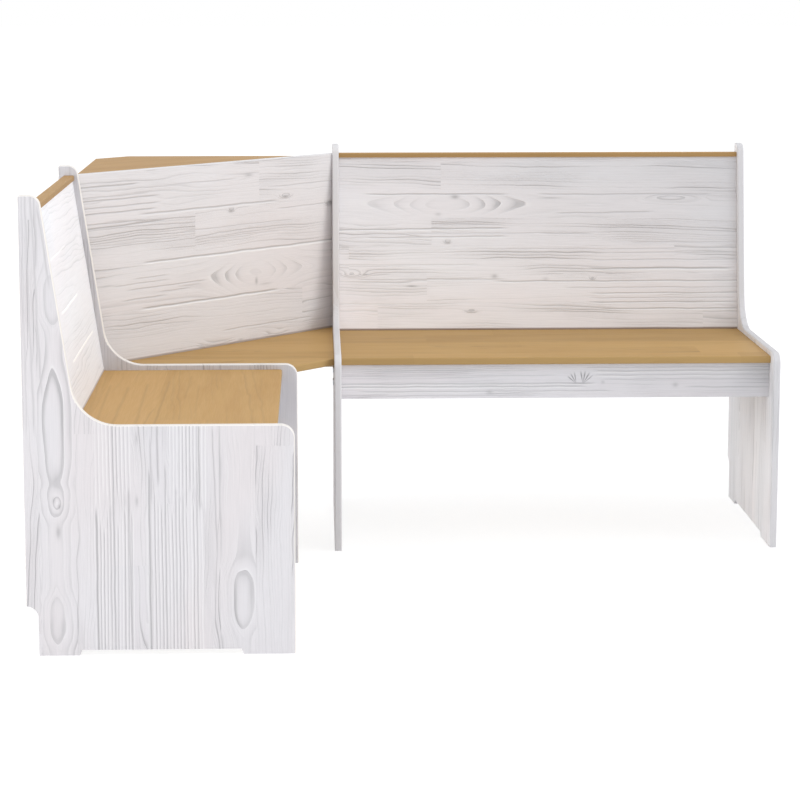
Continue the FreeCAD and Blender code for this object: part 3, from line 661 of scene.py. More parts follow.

# %% [markdown]
# ## The lines of the rings
#
# Each yearly ring ends in one dark line, where the tree stopped growing for the winter. Some are strong and
# some faint. On its inner side the line has a soft shade, on its outer side a painted highlight, a bright
# glint, follows it, and two fainter lines run inside each ring.

# %% Draw the rings
def ring_lines(wiring, rings, stave, block, patch, bold):
    """How dark a point is, and how bright its painted glint highlight is. The field of rings has a whole
    part, which numbers the ring and picks its strength, and a rest, which rises to the line and falls off
    sharply after it. Patch is the share of the lines that shows there, and bold a least strength for them."""
    ring = rings.whole()
    phase = ring + 1.0 - rings
    force = wiring.math("POWER", wiring.dice(ring, stave, block)[0], 1.1)
    power = force * patch
    quiet = patch
    sharp = phase.spread(0.60, 0.93, 0.0, 0.65) + phase.spread(0.05, 0.93, 0.0, 0.35)
    if bold is not None:
        power = power.larger(bold)
        quiet = patch * (1.0 - bold)
        sharp = (sharp + phase.spread(0.35, 0.80, 0.0, 0.55) * bold).smaller(1.0)
    main = sharp * phase.spread(0.94, 1.0, 1.0, 0.0) * power
    glint = phase.spread(0.0, 0.16, 1.0, 0.0) * power
    part = wiring.math("FRACT", rings * 3.0)
    faint = part.spread(0.5, 0.9) * part.spread(0.92, 1.0, 1.0, 0.0)
    return main.larger(faint * (quiet * 0.24)), glint


print("ring lines ready")

# %% [markdown]
# ## One formula for all the pine
#
# The same wood is under every finish, so one function draws the grain. The
# field of rings is a slope across the board with a little slant and a
# wander, the ridges of the staves with arches in their place, and the hills
# on top of both. Then the other marks are laid over the lines.

# %% Grow the grain
WIDE_RINGS = (90.0, 190.0)
FINE_RINGS = (150.0, 260.0)


def pine_grain(wiring, board, seed, lines=WIDE_RINGS, wander=1.6):
    """The grain of one board: its lines, its painted glint highlights and its fibres, the dice of each
    block, what its marks add, and the places. Lines are the fewest and the most rings to a metre, and wander
    is how many rings the noise may push a line aside."""
    u, v, w = board.places(wiring)
    stave, block, flat_sawn = glue_up(wiring, board, seed, u, v)
    luck = wiring.dice(stave, block, float(seed))
    slant = u * luck[1].spread(0.0, 1.0, -5.0, 5.0)
    lift = luck[2] * 11.0
    drift = wiring.vector(u * 5.0, v * 24.0, w * 24.0 + lift)
    wave = (wiring.noise(drift) - 0.5) * (2 * wander)
    rings = v * luck[0].spread(0.0, 1.0, *lines) + slant + (lift + wave)
    found = dict.fromkeys(("bold", "hushed", "dark", "cut", "lip_highlight"))
    for mark, inside, outside in flat_sawn:
        field, tips, beside = mark.ridge(u, v, wave)
        rings = rings * outside + field * inside
        found["bold"] = most(found["bold"], tips * inside)
        found["hushed"] = most(found["hushed"], beside * inside)
    for mark in board.marks:
        if isinstance(mark, Hill):
            shape = mark.bell(u, v)
            rings = rings + shape * mark.strength
            found["bold"] = most(found["bold"], shape.spread(0.1, 0.7) * 0.6)
    rings = rings + w * 60.0
    for mark in board.marks:
        for name, value in mark.draw(u, v, w).items():
            found[name] = most(found[name], value)
    cloud = wiring.noise(wiring.vector(u * 3.6, v * 18.0, lift), 1.0)
    patch = cloud.spread(0.40, 0.66, 0.2, 1.0)
    if found["hushed"] is not None:
        patch = patch * (1.0 - found["hushed"])
    line, glint = ring_lines(wiring, rings, stave, block, patch, found["bold"])
    fibre = wiring.noise(wiring.vector(u * 16.0, v * 620.0, w * 620.0), 2.0, 0.6)
    drawn = {name: found[name] or 0.0 for name in ("dark", "cut", "lip_highlight")}
    return SimpleNamespace(line=line, glint=glint, fibre=fibre, luck=luck, u=u, v=v, **drawn)


print("grain formula ready")

# %% [markdown]
# ## White brushed pine
#
# The wax is nearly white, a touch cool, and stays thin over the hard rings, which come through grey. The
# boards were brushed first: the soft wood between the rings is a little lower, so every ring throws a thin
# shadow. Colour does half of the work, with painted shade added to the grey of each line and painted
# highlights beside it, and the brushed height the other half.
#
# The colours are screen colours, from 0 to 255, turned into light for the
# shader.

# %% Mix the white wax
GLINT_HIGHLIGHT = (250, 249, 249)
LIP_HIGHLIGHT = (252, 251, 250)
JOINT_SHADE_COLOUR = (122, 96, 72)
PLAIN_EDGE = (226, 224, 224)
WARM_TINT = (1.0, 0.972, 0.962)
GREY_TINT = (0.965, 0.965, 0.972)
BRUSHED_DEPTH = 0.0011


def linear(colour):
    """The light that a screen colour stands for: each part over 255, plus
    0.055, over 1.055, to the power 2.4, and for the darkest over 12.92."""
    parts = np.array(colour, float) / 255
    bright = ((parts + 0.055) / 1.055) ** 2.4
    return tuple(np.where(parts > 0.04045, bright, parts / 12.92)) + (1.0,)


def tinted(colour, tint):
    """The light of a screen colour, with each part times a tint."""
    return tuple(np.multiply(linear(colour)[:3], tint)) + (1.0,)


def wax(wiring, board, grain, seed, light, contrast):
    """Lays the wax on the broad faces: clouds and blocks of a warmer and a greyer white, then fibres,
    painted glint highlights, lines, painted lip highlights and knots over them. Gives the depth of the lines
    and where the broad faces are."""
    shade = linear(np.multiply(light, 0.78))
    cloud = wiring.noise(wiring.vector(grain.u * 2.2, grain.v * 6.0, float(seed)))
    wiring.lay(cloud.spread(0.35, 0.65), tinted(light, WARM_TINT))
    wiring.lay(grain.luck[1].spread(0.25, 1.0, 0.0, 0.45), tinted(light, GREY_TINT))
    wiring.lay(grain.fibre.spread(0.25, 0.75, 0.14, 0.0), shade)
    face = board.facing(wiring)
    depth = (grain.line * contrast).larger(grain.cut)
    # Painted highlight: a bright glint beside each ring line, standing in for the lit side of the brushed
    # ring.
    wiring.lay(grain.glint * (0.4 * contrast) * face, linear(GLINT_HIGHLIGHT))
    wiring.lay(depth * 0.85 * face, shade)
    # Painted highlight: the bright lip below the grooves and between the comb lines.
    wiring.lay(grain.lip_highlight * 0.8 * face, linear(LIP_HIGHLIGHT))
    wiring.lay(grain.dark * face, linear(np.multiply(light, 0.62)))
    return depth, face


print("white wax mixed")

# %% [markdown]
# ## Wax, painted light and painted shade that vary over a board
#
# A board isn't toned alike all over. The face towards the wall can have another tone than the front, which
# on these boards is painted light. A painted falloff of light can dim it towards one end or side, a thin
# painted contact shade darkens it where it stands on the seat, and the narrow edges have a tone of their
# own, which on some panels is a painted highlight and on one a painted shade.

# %% Wax one board
def white_pine(name, board, seed, light, contrast=1.0, lines=WIDE_RINGS, wander=1.6,
               rear=None, thins=None, edge=PLAIN_EDGE):
    """White waxed pine on one board. Rear is the tone of the face that looks away from its third direction,
    where the two faces differ; on these boards it is painted light, a whiter wax on the face that has to
    look brighter than the lamps make it. Edge is the tone of the narrow edges, on some panels a painted
    highlight and on one a painted shade. The falloff option is a middle along and across, in metres, and the
    shares that the tone loses in each metre along and across from it: a painted gradient of light and shade."""
    wiring = Finish(name, linear(light))
    grain = pine_grain(wiring, board, seed, lines, wander)
    depth, face = wax(wiring, board, grain, seed, light, contrast)
    # The other face takes the rear tone: painted light, a whiter copy of the wax.
    if rear is not None:
        thinner = np.divide(linear(rear)[:3], linear(light)[:3])
        other = wiring.stretch(wiring.colour, tuple(thinner))
        wiring.colour = wiring.blend(board.side(wiring).spread(-0.2, 0.2), other, wiring.colour)
    # Painted falloff: the tone dims along and across the board, as painted light and shade.
    if thins is not None:
        middle, losses = thins
        along = (grain.u - middle[0]) * -losses[0]
        across = (grain.v - middle[1]) * -losses[1]
        wiring.dim(along + across + 1.0)
    # Painted contact shade: a thin dark line at the foot of the board, where it stands on the seat.
    if board.joint_shade:
        wiring.lay(grain.v.spread(0.002, 0.006, board.joint_shade, 0.0), linear(JOINT_SHADE_COLOUR))
    # The narrow edges take the edge tone: a painted highlight on the short bench's panels and a painted
    # shade on the far panel.
    wiring.lay(face.spread(0.0, 1.0, 0.8, 0.0), linear(edge))
    height = depth * -1.0 + grain.fibre * 0.12 + grain.lip_highlight * 0.35
    return wiring.surface(grain.line.spread(0.0, 1.0, 0.52, 0.7), height, BRUSHED_DEPTH, specular=0.3)


print("wax varied")

# %% [markdown]
# ## Honey stained pine
#
# The seats, the strips on the backs and the corner shelf are stained light
# brown and sanded smooth. Stain sinks into soft wood more than into the
# rings, so the contrast is low and the bands are broad.

# %% Mix the honey stain
BROAD_RINGS = (45.0, 95.0)
SANDED_DEPTH = 0.00015


def honey_pine(name, board, seed, light, contrast=1.0, wander=2.4, rear=None):
    """Honey stained pine on one board: cloudy, paler blocks, fibres, rings and knots, and a painted shade on
    the narrow edges. Rear gives the distance across, in metres, where a darker band along the back of the
    board ends, and the share of the colour that the band keeps."""
    wiring = Finish(name, linear(light))
    grain = pine_grain(wiring, board, seed, BROAD_RINGS, wander)
    shade = linear(np.multiply(light, 0.86))
    cloud = wiring.noise(wiring.vector(grain.u * 3.0, grain.v * 20.0, float(seed)))
    tone = (grain.line * (0.6 * contrast)).larger(grain.cut * 0.6)
    wiring.lay(cloud.spread(0.3, 0.7), linear(np.add(light, (-8, -9, -9))))
    wiring.lay(grain.luck[1].spread(0.2, 1.0, 0.0, 0.8), linear(np.add(light, (4, 3, 3))))
    wiring.lay(grain.fibre.spread(0.2, 0.8, 0.18, 0.0), shade)
    wiring.lay(tone, shade)
    wiring.lay(grain.dark, linear(np.add(light, (-34, -52, -44))))
    if rear is not None:
        end, share = rear
        wiring.dim(grain.v.spread(end - 0.02, end + 0.02, share, 1.0))
    # Painted shade: the narrow edges are darkened.
    edge_shade = linear(np.add(light, (-21, -13, -2)))
    wiring.lay(board.facing(wiring).spread(0.0, 1.0, 0.7, 0.0), edge_shade)
    height = tone * -0.5 + grain.fibre * 0.25
    return wiring.surface(grain.fibre.spread(0.2, 0.8, 0.56, 0.46), height, SANDED_DEPTH, specular=0.16)


print("honey stain mixed")

# %% [markdown]
# ## The lines that the boards are laid from
#
# Each board's grain is measured from one of its corners. Most of those lie
# on a few lines of the bench, read from the model's own boxes: the two
# walls, the panels where the benches start, and the levels of the seats and
# the strips. The side panels have upright grain, and everything between them
# runs lengthwise.

# %% Find the corners
LEFT_WALL = model_box[0][0]
BACK_WALL = model_box[1][1]
LONG_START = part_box("long_bench_corner_panel")[1][0]
SHORT_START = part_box("short_bench_corner_panel")[0][1]
SEAT_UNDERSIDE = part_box("long_seat")[0][2]
SEAT_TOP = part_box("long_seat")[1][2]
CAP_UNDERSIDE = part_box("long_top_cap")[0][2]
RIGHT = (1, 0, 0)
FORWARD = (0, -1, 0)
UP = (0, 0, 1)
INTO_CORNER = (1, 1, 0)
OUT_OF_CORNER = (1, -1, 0)
NARROW_STAVE = 0.0643
WIDE_STAVE = 0.0975
white_boards = {}


def several(kind, *rows):
    """One mark of a kind for each row of its numbers."""
    return [kind(*row) for row in rows]


def plan(name, board, light, **options):
    """Notes down a board to be waxed white, with its tone."""
    white_boards[name] = (board, light, options)
    print("planned:", name, "with", len(board.marks), "marks")


print("seats from", round(SEAT_UNDERSIDE, 3), "to", round(SEAT_TOP, 3), "metres up")

# %% [markdown]
# ## The near panel
#
# This is the board that shows most. A stave near its back edge has a tall
# oval with a knot below it, one near its front edge has a lower and rounder
# oval, and the staves between carry close straight lines over the lower two
# thirds of its height.

# %% Plan the near panel
# A painted highlight on the rounded narrow edges of the two panels of the short bench.
EDGE_HIGHLIGHT = (246, 241, 234)

marks = [
    Arches(
        58, 12, 1.0,
        [
            (412, 102, 1.3, 0.8, 1.1), (281, 30, 0.8, 0.6, 0.3),
            (66, 46, 0.9, 0.6, 0.3), (650, 46, 0.9, 0.3, 0.4),
        ],
        first=0.6, cap=1.75, core=32, blunt=True,
    ),
    Arches(394, 16, 1.3, [(104, 60, 1.2, 0.5, 0.75)], first=0.45, cap=1.7, core=26, blunt=True),
    Hill(281, 60, 12, 8, 1.6),
]
marks += several(
    Knot, (275, 64, 5, 3, 0.35), (286, 54, 6, 3, 0.35), (228, 61, 11, 4, 0.45), (520, 108, 16, 3, 0.25),
    (400, 203, 12, 3, 0.3), (284, 202, 10, 3, 0.35), (505, 390, 16, 2.5, 0.25), (455, 403, 20, 2, 0.25),
)
marks += several(
    Comb, (0, 262, 127.1, 195.3, 6.2), (0, 290, 231.5, 319.7, 6.3), (322, 520, 130, 192, 6.9),
    (330, 520, 262.8, 326.8, 6.4),
)
# Soft lines high up on the back edge.
marks += several(
    Groove, (430, 850, 3, 1.9, 0.4), (430, 850, 9, 1.7, 0.35), (430, 850, 22, 2.1, 0.45, -0.018),
    (500, 850, 36, 2.3, 0.5, -0.035), (690, 800, 52, 2.3, 0.5, -0.13),
)
# Stronger lines in the combs and between them.
marks += several(
    Groove, (0, 250, 130.2, 1.9, 1.0), (0, 262, 155, 1.6, 0.6), (0, 262, 161.2, 1.6, 0.8),
    (0, 290, 191, 1.8, 0.8, -0.01), (0, 320, 224.5, 2.1, 1.0, 0, 0.3), (0, 330, 253.5, 1.6, 0.7),
    (0, 280, 272.4, 1.5, 0.5), (0, 280, 285, 1.5, 0.6), (0, 330, 310, 1.5, 0.6), (275, 470, 161, 1.6, 0.8),
    (335, 470, 240.5, 1.8, 0.8), (300, 380, 228, 1.6, 0.6), (290, 470, 314, 1.7, 0.9),
    (200, 400, 345, 1.5, 0.6, -0.03),
)
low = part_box("short_bench_end_panel")[0]
plan(
    "short_bench_end_panel", Board(low, UP, RIGHT, NARROW_STAVE, 0.75, first=-0.036, marks=marks),
    light=(223, 220, 222), contrast=1.15, wander=2.6, edge=EDGE_HIGHLIGHT,
)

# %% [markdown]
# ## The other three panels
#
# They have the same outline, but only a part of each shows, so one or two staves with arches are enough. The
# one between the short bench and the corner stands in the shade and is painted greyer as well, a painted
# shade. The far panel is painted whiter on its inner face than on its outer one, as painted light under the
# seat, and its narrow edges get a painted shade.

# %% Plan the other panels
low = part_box("short_bench_corner_panel")[0]
marks = [Arches(205, 12, 2.2, [(300, 110, 3.5, 0.6, 0.6)])]
plan(
    "short_bench_corner_panel", Board(low, UP, RIGHT, NARROW_STAVE, 0.7, first=-0.02, marks=marks),
    light=(208, 207, 211), contrast=1.2, wander=1.8, edge=EDGE_HIGHLIGHT,
)
wall_end = (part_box("long_bench_corner_panel")[0][0], BACK_WALL, 0.0)
marks = [
    Arches(280, 12, 2.2, [(220, 110, 3.5, 0.6, 0.6)]),
    Arches(86, 12, 2.2, [(560, 110, 3.0, 0.6, 0.6)]),
]
plan(
    "long_bench_corner_panel", Board(wall_end, UP, FORWARD, NARROW_STAVE, 0.7, first=-0.01, marks=marks),
    light=(222, 220, 222), contrast=0.8, wander=1.8, edge=(223, 221, 222),
)
wall_end = (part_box("long_bench_end_panel")[0][0], BACK_WALL, 0.0)
marks = [Arches(130, 12, 2.2, [(300, 120, 3.5, 0.5, 0.5)])]
plan(
    "long_bench_end_panel", Board(wall_end, UP, FORWARD, NARROW_STAVE, 0.7, first=-0.03, marks=marks),
    light=(228, 227, 229), contrast=1.1, wander=2.2, rear=(252, 251, 252), edge=(206, 204, 206),
)

# %% [markdown]
# ## The long back
#
# The long backrest leans back, so the direction across its grain leans too.
# High on its left is the figure that the eye finds first, a row of arches
# like arrowheads, with a knot on its upper line. Below it the left half is
# quiet, and the right half has many straight lines.

# %% Plan the long back
BACK_FOOT = 0.0866
BACK_LEAN = 0.0573
BACK_RISE = 0.393
BACK_MIDDLE = (0.46, 0.2)

marks = [Arches(288, 12, 0.9, [(250, 119, 4.1, 0.9, 2.1)], hush=0.9, core=15)]
marks += several(
    Hill, (766, 303, 60, 9, 2.6), (30, 128, 30, 9, 3.0), (249, 202, 10, 6, 2.0), (583, 117, 9, 5, 2.0),
    (303, 43, 16, 6, 1.5),
)
marks += several(
    Knot, (267, 306, 9, 5, 0.55), (228, 266, 7, 4, 0.3), (249, 202, 8, 4, 0.35), (167, 101, 12, 1.6, 0.8),
    (303, 43, 14, 4, 0.3), (357, 123, 7, 5, 0.45), (583, 117, 6, 4, 0.3), (475, 117, 7, 4, 0.25),
    (62, 128, 9, 1.5, 0.5), (486, 303, 22, 2, 0.35),
)
# Lines on the left half.
marks += several(
    Groove, (81, 364, 312, 1.6, 0.8, 0, 0.3), (5, 364, 230, 1.7, 0.9, 0.01, 0.6),
    (70, 480, 222, 1.3, 0.5), (83, 364, 212, 1.6, 0.7, 0.01, 0.5), (60, 365, 116, 1.4, 0.6),
    (5, 300, 150, 1.3, 0.4), (5, 240, 60, 1.3, 0.4),
)
# Lines on the right half.
marks += several(
    Groove, (593, 883, 140, 2.2, 1.0, 0, 0.6), (480, 560, 221, 1.5, 0.7), (381, 913, 111, 1.6, 0.8, 0, 0.4),
    (600, 900, 83, 1.5, 0.7, 0, 0.4), (600, 900, 72, 1.3, 0.5), (600, 900, 62, 1.5, 0.7, 0, 0.4),
    (620, 913, 47, 1.6, 0.8, 0, 0.4), (690, 913, 200, 1.4, 0.5), (540, 913, 96, 1.4, 0.5),
    (480, 840, 311, 1.6, 0.6), (520, 700, 268, 1.8, 0.6, 0.01), (600, 913, 160, 1.4, 0.5),
    (640, 900, 176, 1.4, 0.5), (430, 760, 185, 1.3, 0.45),
)
foot = (LONG_START, BACK_WALL - BACK_FOOT, SEAT_TOP)
leaning = (0, BACK_LEAN, BACK_RISE)
# The joint value paints a contact shade along its foot on the seat, and the falloff is a painted gradient of
# light across the back.
plan(
    "long_backrest", Board(foot, RIGHT, leaning, NARROW_STAVE, 0.75, marks=marks, joint_shade=0.85),
    light=(237, 235, 237), contrast=0.95, thins=(BACK_MIDDLE, (0.25, 0.5)),
)

# %% [markdown]
# ## The short back
#
# The short backrest leans the same way against the other wall. It catches the key lamp full on, and its
# room-facing face is painted a whiter tone than its back face, as painted light, so its grain nearly drowns
# in white. Only three bright lines show, and they are painted highlights. A painted falloff darkens it
# towards the seat, and a painted contact shade runs along its foot.

# %% Plan the short back
marks = several(
    Groove, (240, 450, 196, 2.1, 0.2, 0, 0.9), (95, 409, 99, 2.1, 0.2, 0, 0.9),
    (300, 480, 300, 2.0, 0.15, 0, 0.4),
)
foot = (LEFT_WALL + BACK_FOOT, SHORT_START, SEAT_TOP)
leaning = (-BACK_LEAN, 0, BACK_RISE)
plan(
    "short_backrest", Board(foot, FORWARD, leaning, WIDE_STAVE, 0.8, first=0.009, marks=marks, joint_shade=0.5),
    light=(222, 221, 224), contrast=0.5, rear=(247, 248, 252), thins=(BACK_MIDDLE, (0.0, -0.18)),
)

# %% [markdown]
# ## The corner back
#
# The backrest across the corner stands upright, with its grain along the
# diagonal. The second of its wide staves has arches round a small knot and a
# long deep groove along each edge. On the left are short dark lines.

# %% Plan the corner back
CORNER_BACK_START = 0.0365

marks = [Arches(152, 14, 1.0, [(500, 100, 3.6, 1.9, 0.9)], hush=0.9, core=17)]
marks += several(
    Hill, (593, 316, 24, 7, 3.0), (735, 290, 22, 9, 2.5), (428, 297, 12, 6, 2.0), (377, 0, 75, 18, 2.0),
    (560, 8, 45, 12, 1.6),
)
marks += several(
    Knot, (593, 316, 9, 2.5, 0.55), (735, 290, 12, 6, 0.6), (428, 297, 8, 5, 0.4), (481, 371, 12, 4, 0.4),
    (70, 165, 24, 2, 0.3), (530, 124, 18, 2.5, 0.3), (502, 133, 4, 8, 0.5), (452, 6, 8, 3, 0.35),
)
# The long grooves across the board, most with a painted highlight below them.
marks += several(
    Groove, (198, 738, 204.5, 2.2, 0.9, 0, 0.7), (191, 545, 107, 2.2, 1.0, 0, 0.7),
    (20, 217, 287, 2.0, 1.0, 0.02, 0.1), (190, 547, 308, 2.0, 0.8, 0, 0.3), (590, 735, 290, 1.5, 0.5),
    (424, 657, 33, 1.7, 0.6, 0, 0.15),
)
# Short lines on the left.
marks += several(
    Groove, (110, 225, 162, 1.5, 0.5), (165, 225, 172, 1.4, 0.5), (135, 215, 129, 1.6, 0.6),
    (235, 290, 138, 1.5, 0.6), (295, 320, 143, 2.2, 0.5), (5, 190, 318, 1.6, 0.8), (5, 200, 330, 1.6, 0.7),
    (5, 200, 345, 1.6, 0.8), (5, 170, 352, 1.6, 0.6), (10, 140, 374, 1.8, 0.9), (5, 160, 296, 1.5, 0.7),
)
# Finer lines here and there.
marks += several(
    Groove, (240, 420, 365, 1.5, 0.5), (300, 600, 262, 1.4, 0.5), (380, 560, 240, 1.4, 0.5),
    (60, 260, 250, 1.4, 0.5), (560, 760, 340, 1.4, 0.5), (150, 330, 150, 1.6, 0.6),
)
foot = (LEFT_WALL + CORNER_BACK_START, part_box("short_bench_corner_panel")[1][1], SEAT_TOP)
# The joint value paints a contact shade along its foot on the seat.
plan(
    "corner_backrest",
    Board(foot, INTO_CORNER, UP, WIDE_STAVE, 0.8, first=0.009, marks=marks, joint_shade=0.6),
    light=(229, 226, 227), contrast=0.9, wander=1.8,
)

# %% [markdown]
# ## The rails
#
# The long front rail is one narrow board, with a burst like a pair of open
# fans at its middle and straight lines on both sides of it. The other three
# rails are hidden or nearly so.

# %% Plan the rails
RAIL_MIDDLE = (0.46, 0.04)
RAIL_STAVE = 0.075
RAIL_BLOCK = 1.2
RAIL_WAX = (226, 224, 227)


def longest_way(name):
    """A board laid along the longest side of its box, from its low corner."""
    low, high = (np.array(corner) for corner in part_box(name))
    longest, middling = np.argsort(high - low)[::-1][:2]
    axes = np.eye(3)
    return Board(low, axes[longest], axes[middling], stave=1.0, block=3.0, first=-0.5)


marks = several(Burst, (503, 31, 28, 98, 152), (517, 30, 32, 42, 104))
marks += several(
    Knot, (510, 31, 18, 1.4, 0.4), (716, 27, 6, 5, 0.35), (317, 13, 7, 4, 0.35), (560, 34, 4, 4, 0.3),
)
marks += several(
    Groove, (5, 522, 31.5, 1.8, 0.7, 0, 0.4), (5, 500, 25, 1.7, 0.7, 0, 0.4),
    (60, 560, 15, 1.4, 0.6, 0, 0.3), (5, 400, 6, 1.4, 0.5), (5, 440, 49, 1.4, 0.45), (60, 400, 60, 1.4, 0.4),
    (560, 918, 58, 1.7, 0.7, 0, 0.4), (560, 918, 49, 1.5, 0.6, 0, 0.4), (540, 900, 66, 1.4, 0.5),
    (580, 918, 40, 1.4, 0.5), (760, 918, 22, 1.4, 0.6),
)
front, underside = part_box("long_front_rail")[0][1:]
# The falloff along the front rail is a painted gradient of light.
plan(
    "long_front_rail",
    Board((LONG_START, front, underside), RIGHT, UP, RAIL_STAVE, RAIL_BLOCK, marks=marks),
    light=(227, 225, 228), lines=FINE_RINGS, thins=(RAIL_MIDDLE, (0.3, 0.0)),
)
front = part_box("short_front_rail")[1][0]
plan(
    "short_front_rail", Board((front, SHORT_START, underside), FORWARD, UP, RAIL_STAVE, RAIL_BLOCK),
    light=RAIL_WAX, lines=FINE_RINGS, contrast=0.9,
)
for name in ("long_rear_rail", "short_rear_rail"):
    plan(name, longest_way(name), light=RAIL_WAX, lines=FINE_RINGS, contrast=0.8)

# %% [markdown]
# ## Waxing
#
# A seed of its own keeps each board's random lines from repeating another's.

# %% Wax the white boards
def dress(name, material):
    """Gives a board of the model its material, without touching its mesh."""
    board = nodes[name]
    board.data.materials.clear()
    board.data.materials.append(material)


for number, (name, (board, light, options)) in enumerate(white_boards.items()):
    dress(name, white_pine("white_pine_" + name, board, 3 + 7 * number, light, **options))
print("waxed white:", ", ".join(white_boards))

# %% [markdown]
# ## Dressing the honey boards
#
# The grain of each seat follows its bench, so the long seat's lines run from
# side to side and the short seat's towards the viewer, with long streaks
# between them. The long seat is darker under its backrest, and the strips
# and the shelf are stained a little deeper than the seats.

# %% Stain the honey boards
SEAT_STAIN = (195, 157, 99)
SHORT_SEAT_STAIN = (201, 161, 103)
TRIM_STAIN = (186, 146, 91)
SHELF_LEVEL = 0.80
honey_boards = []


def stain_flat(name, level, corner, directions, stave, block, stain, marks=(), **options):
    """Stains a flat board, with its grain laid from a corner at its level."""
    board = Board((*corner, level), *directions, stave, block, marks=marks)
    seed = 5 + 11 * len(honey_boards)
    honey_boards.append(name)
    dress(name, honey_pine("honey_pine_" + name, board, seed, stain, **options))


long_bench = ((LONG_START, BACK_WALL), (RIGHT, FORWARD))
short_bench = ((LEFT_WALL, SHORT_START), (FORWARD, RIGHT))
corner_bench = ((LEFT_WALL, BACK_WALL), (RIGHT, FORWARD))
corner_shelf = ((LEFT_WALL, BACK_WALL), (INTO_CORNER, OUT_OF_CORNER))
marks = several(Knot, (664, 418, 28, 3, 0.25), (313, 444, 34, 3, 0.3))
marks += [Hill(300, 300, 160, 24, 4.0)]
stain_flat(
    "long_seat", SEAT_UNDERSIDE, *long_bench, 0.08, 0.7, SEAT_STAIN, marks,
    contrast=1.5, rear=(0.255, 0.88),
)
marks = several(
    Groove, (180, 520, 116, 3.0, 0.6, 0.02), (200, 540, 153.5, 3.5, 0.7), (170, 540, 189, 3.5, 0.7, 0.019),
    (140, 540, 230, 3.0, 1.0), (170, 400, 243, 2.2, 0.45, 0.035), (90, 290, 271, 2.8, 0.6),
    (180, 470, 291, 2.4, 0.45, 0.03), (110, 260, 414, 2.6, 0.5),
)
stain_flat(
    "short_seat", SEAT_UNDERSIDE, *short_bench, 0.11, 0.8, SHORT_SEAT_STAIN, marks,
    contrast=0.9, wander=1.2,
)
stain_flat("corner_seat", SEAT_UNDERSIDE, *corner_bench, 0.09, 0.7, SEAT_STAIN, contrast=1.5)
stain_flat("long_top_cap", CAP_UNDERSIDE, *long_bench, 0.06, 0.6, TRIM_STAIN, contrast=1.1)
stain_flat("short_top_cap", CAP_UNDERSIDE, *short_bench, 0.06, 0.6, TRIM_STAIN, contrast=1.1)
stain_flat("corner_top_shelf", SHELF_LEVEL, *corner_shelf, 0.09, 0.6, TRIM_STAIN, contrast=0.5)
print("stained honey:", ", ".join(honey_boards))

# %% [markdown]
# ## The boards that nobody sees
#
# Cleats and battens sit under the seats and behind the backs. They are plain
# sawn pine with no finish but sandpaper, a little yellower and rougher. Their
# grain follows their longest side.

# %% Plane the hidden boards
SAWN_RINGS = (160.0, 260.0)
SAWN_DEPTH = 0.0002
RAW_PALE = (226, 205, 168)
RAW_DEEP = (217, 193, 153)
RAW_LINE = (192, 156, 110)
RAW_FIBRE = (196, 166, 122)


def raw_pine(name, board, seed):
    """Plain sanded pine on one hidden board."""
    wiring = Finish(name, linear(RAW_PALE))
    grain = pine_grain(wiring, board, seed, SAWN_RINGS)
    wiring.lay(grain.luck[0].spread(0.0, 1.0), linear(RAW_DEEP))
    wiring.lay(grain.line * 0.8, linear(RAW_LINE))
    wiring.lay(grain.fibre.spread(0.2, 0.8, 0.2, 0.0), linear(RAW_FIBRE))
    height = grain.line * -0.4 + grain.fibre * 0.5
    return wiring.surface(grain.fibre.spread(0.2, 0.8, 0.62, 0.74), height, SAWN_DEPTH, specular=0.3)


hidden_boards = [
    "long_seat_corner_cleat", "long_seat_end_cleat", "short_seat_corner_cleat", "short_seat_end_cleat",
    "corner_seat_short_side_cleat", "corner_seat_long_side_cleat",
    "corner_back_short_side_batten", "corner_back_long_side_batten", "shelf_batten",
]
for number, name in enumerate(hidden_boards):
    dress(name, raw_pine("raw_pine_" + name, longest_way(name), 40 + number))
print("left raw:", len(hidden_boards))

# %% [markdown]
# ## Dowels
#
# Beech dowels are darker and denser than pine, with short flecks. Their
# rings are too fine to see, so noise that is drawn out one way is enough.

# %% Turn the dowels
BEECH_PALE = (206, 170, 128)
BEECH_DEEP = (194, 156, 112)
BEECH_FLECK = (160, 118, 78)
BEECH_DEPTH = 0.0001


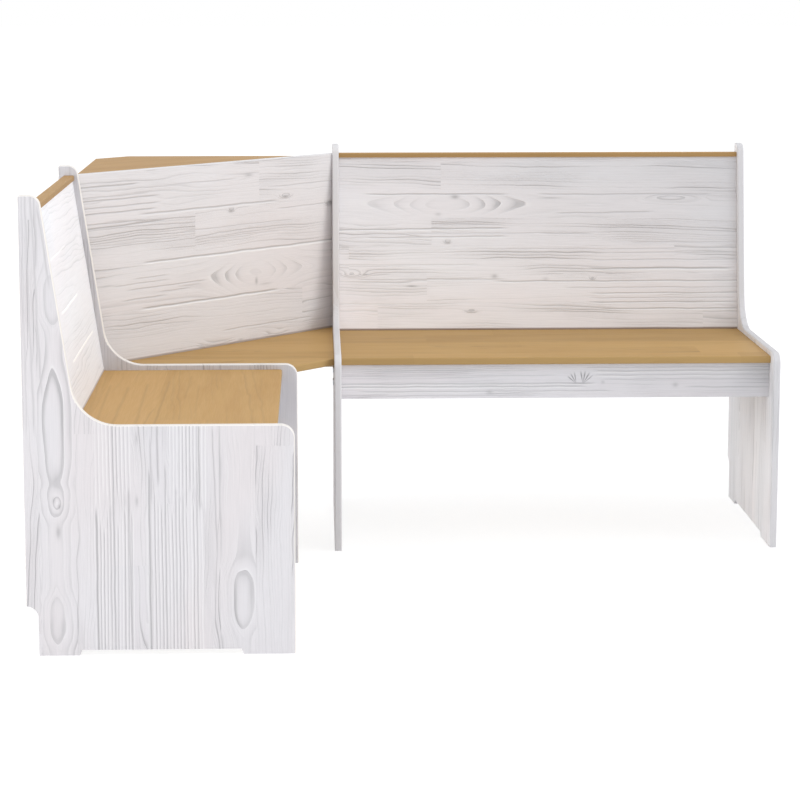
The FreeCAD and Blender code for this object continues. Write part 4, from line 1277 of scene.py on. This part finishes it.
def speckle(wiring, across, along=None, detail=2.0):
    """Noise with so many specks to a metre, or fewer along one way."""
    spot = wiring.value("TexCoord", "Object")
    return wiring.noise(wiring.stretch(spot, (across, across, along or across)), detail)


def beech(name):
    """Beech: short flecks drawn out along one way over a warm brown."""
    wiring = Finish(name, linear(BEECH_PALE))
    fleck = speckle(wiring, 900.0, 300.0)
    wiring.lay(speckle(wiring, 60.0).spread(0.3, 0.7), linear(BEECH_DEEP))
    wiring.lay(fleck.spread(0.55, 0.75, 0.0, 0.6), linear(BEECH_FLECK))
    return wiring.surface(fleck.spread(0.3, 0.7, 0.5, 0.65), fleck, BEECH_DEPTH, specular=0.35)


beech_coat = beech("beech")
print("dowels turned")

# %% [markdown]
# ## Metal fittings
#
# The bolts and screws are steel with a bright zinc coat, and so are the
# barrel nuts that take the bolts. The cam locks are cast zinc, duller and
# pitted. Both coats are fine grit and a broad bloom, with other numbers.

# %% Plate the fittings
def metal(name, bright, dull, grit, roughness, depth):
    """A metal coat: fine grit, so many grains to a metre, in its gloss and
    its height, and a bloom nine times as broad in its tone."""
    wiring = Finish(name, linear(bright))
    speck = speckle(wiring, grit, detail=3.0)
    wiring.lay(speckle(wiring, grit / 9).spread(0.3, 0.7), linear(dull))
    rough = speck.spread(0.25, 0.75, roughness - 0.07, roughness + 0.09)
    return wiring.surface(rough, speck, depth, specular=0.5, metallic=1.0)


zinc_coat = metal(
    "zinc_plated_steel", bright=(214, 216, 220), dull=(196, 199, 205), grit=2400.0, roughness=0.30,
    depth=0.00002,
)
cast_coat = metal(
    "cast_zinc", bright=(186, 188, 192), dull=(168, 170, 175), grit=1500.0, roughness=0.44,
    depth=0.00006,
)
fittings = dict.fromkeys(("board_dowels", "small_dowels"), beech_coat)
plated = ("rail_bolts", "barrel_nuts", "cam_bolts", "cleat_screws", "seat_screws", "back_screws")
fittings.update(dict.fromkeys(plated, zinc_coat), cam_locks=cast_coat)
for name, coat in fittings.items():
    dress(name, coat)
dressed = set(white_boards) | set(honey_boards) | set(hidden_boards) | set(fittings)
print("not dressed:", sorted(set(nodes) - dressed))
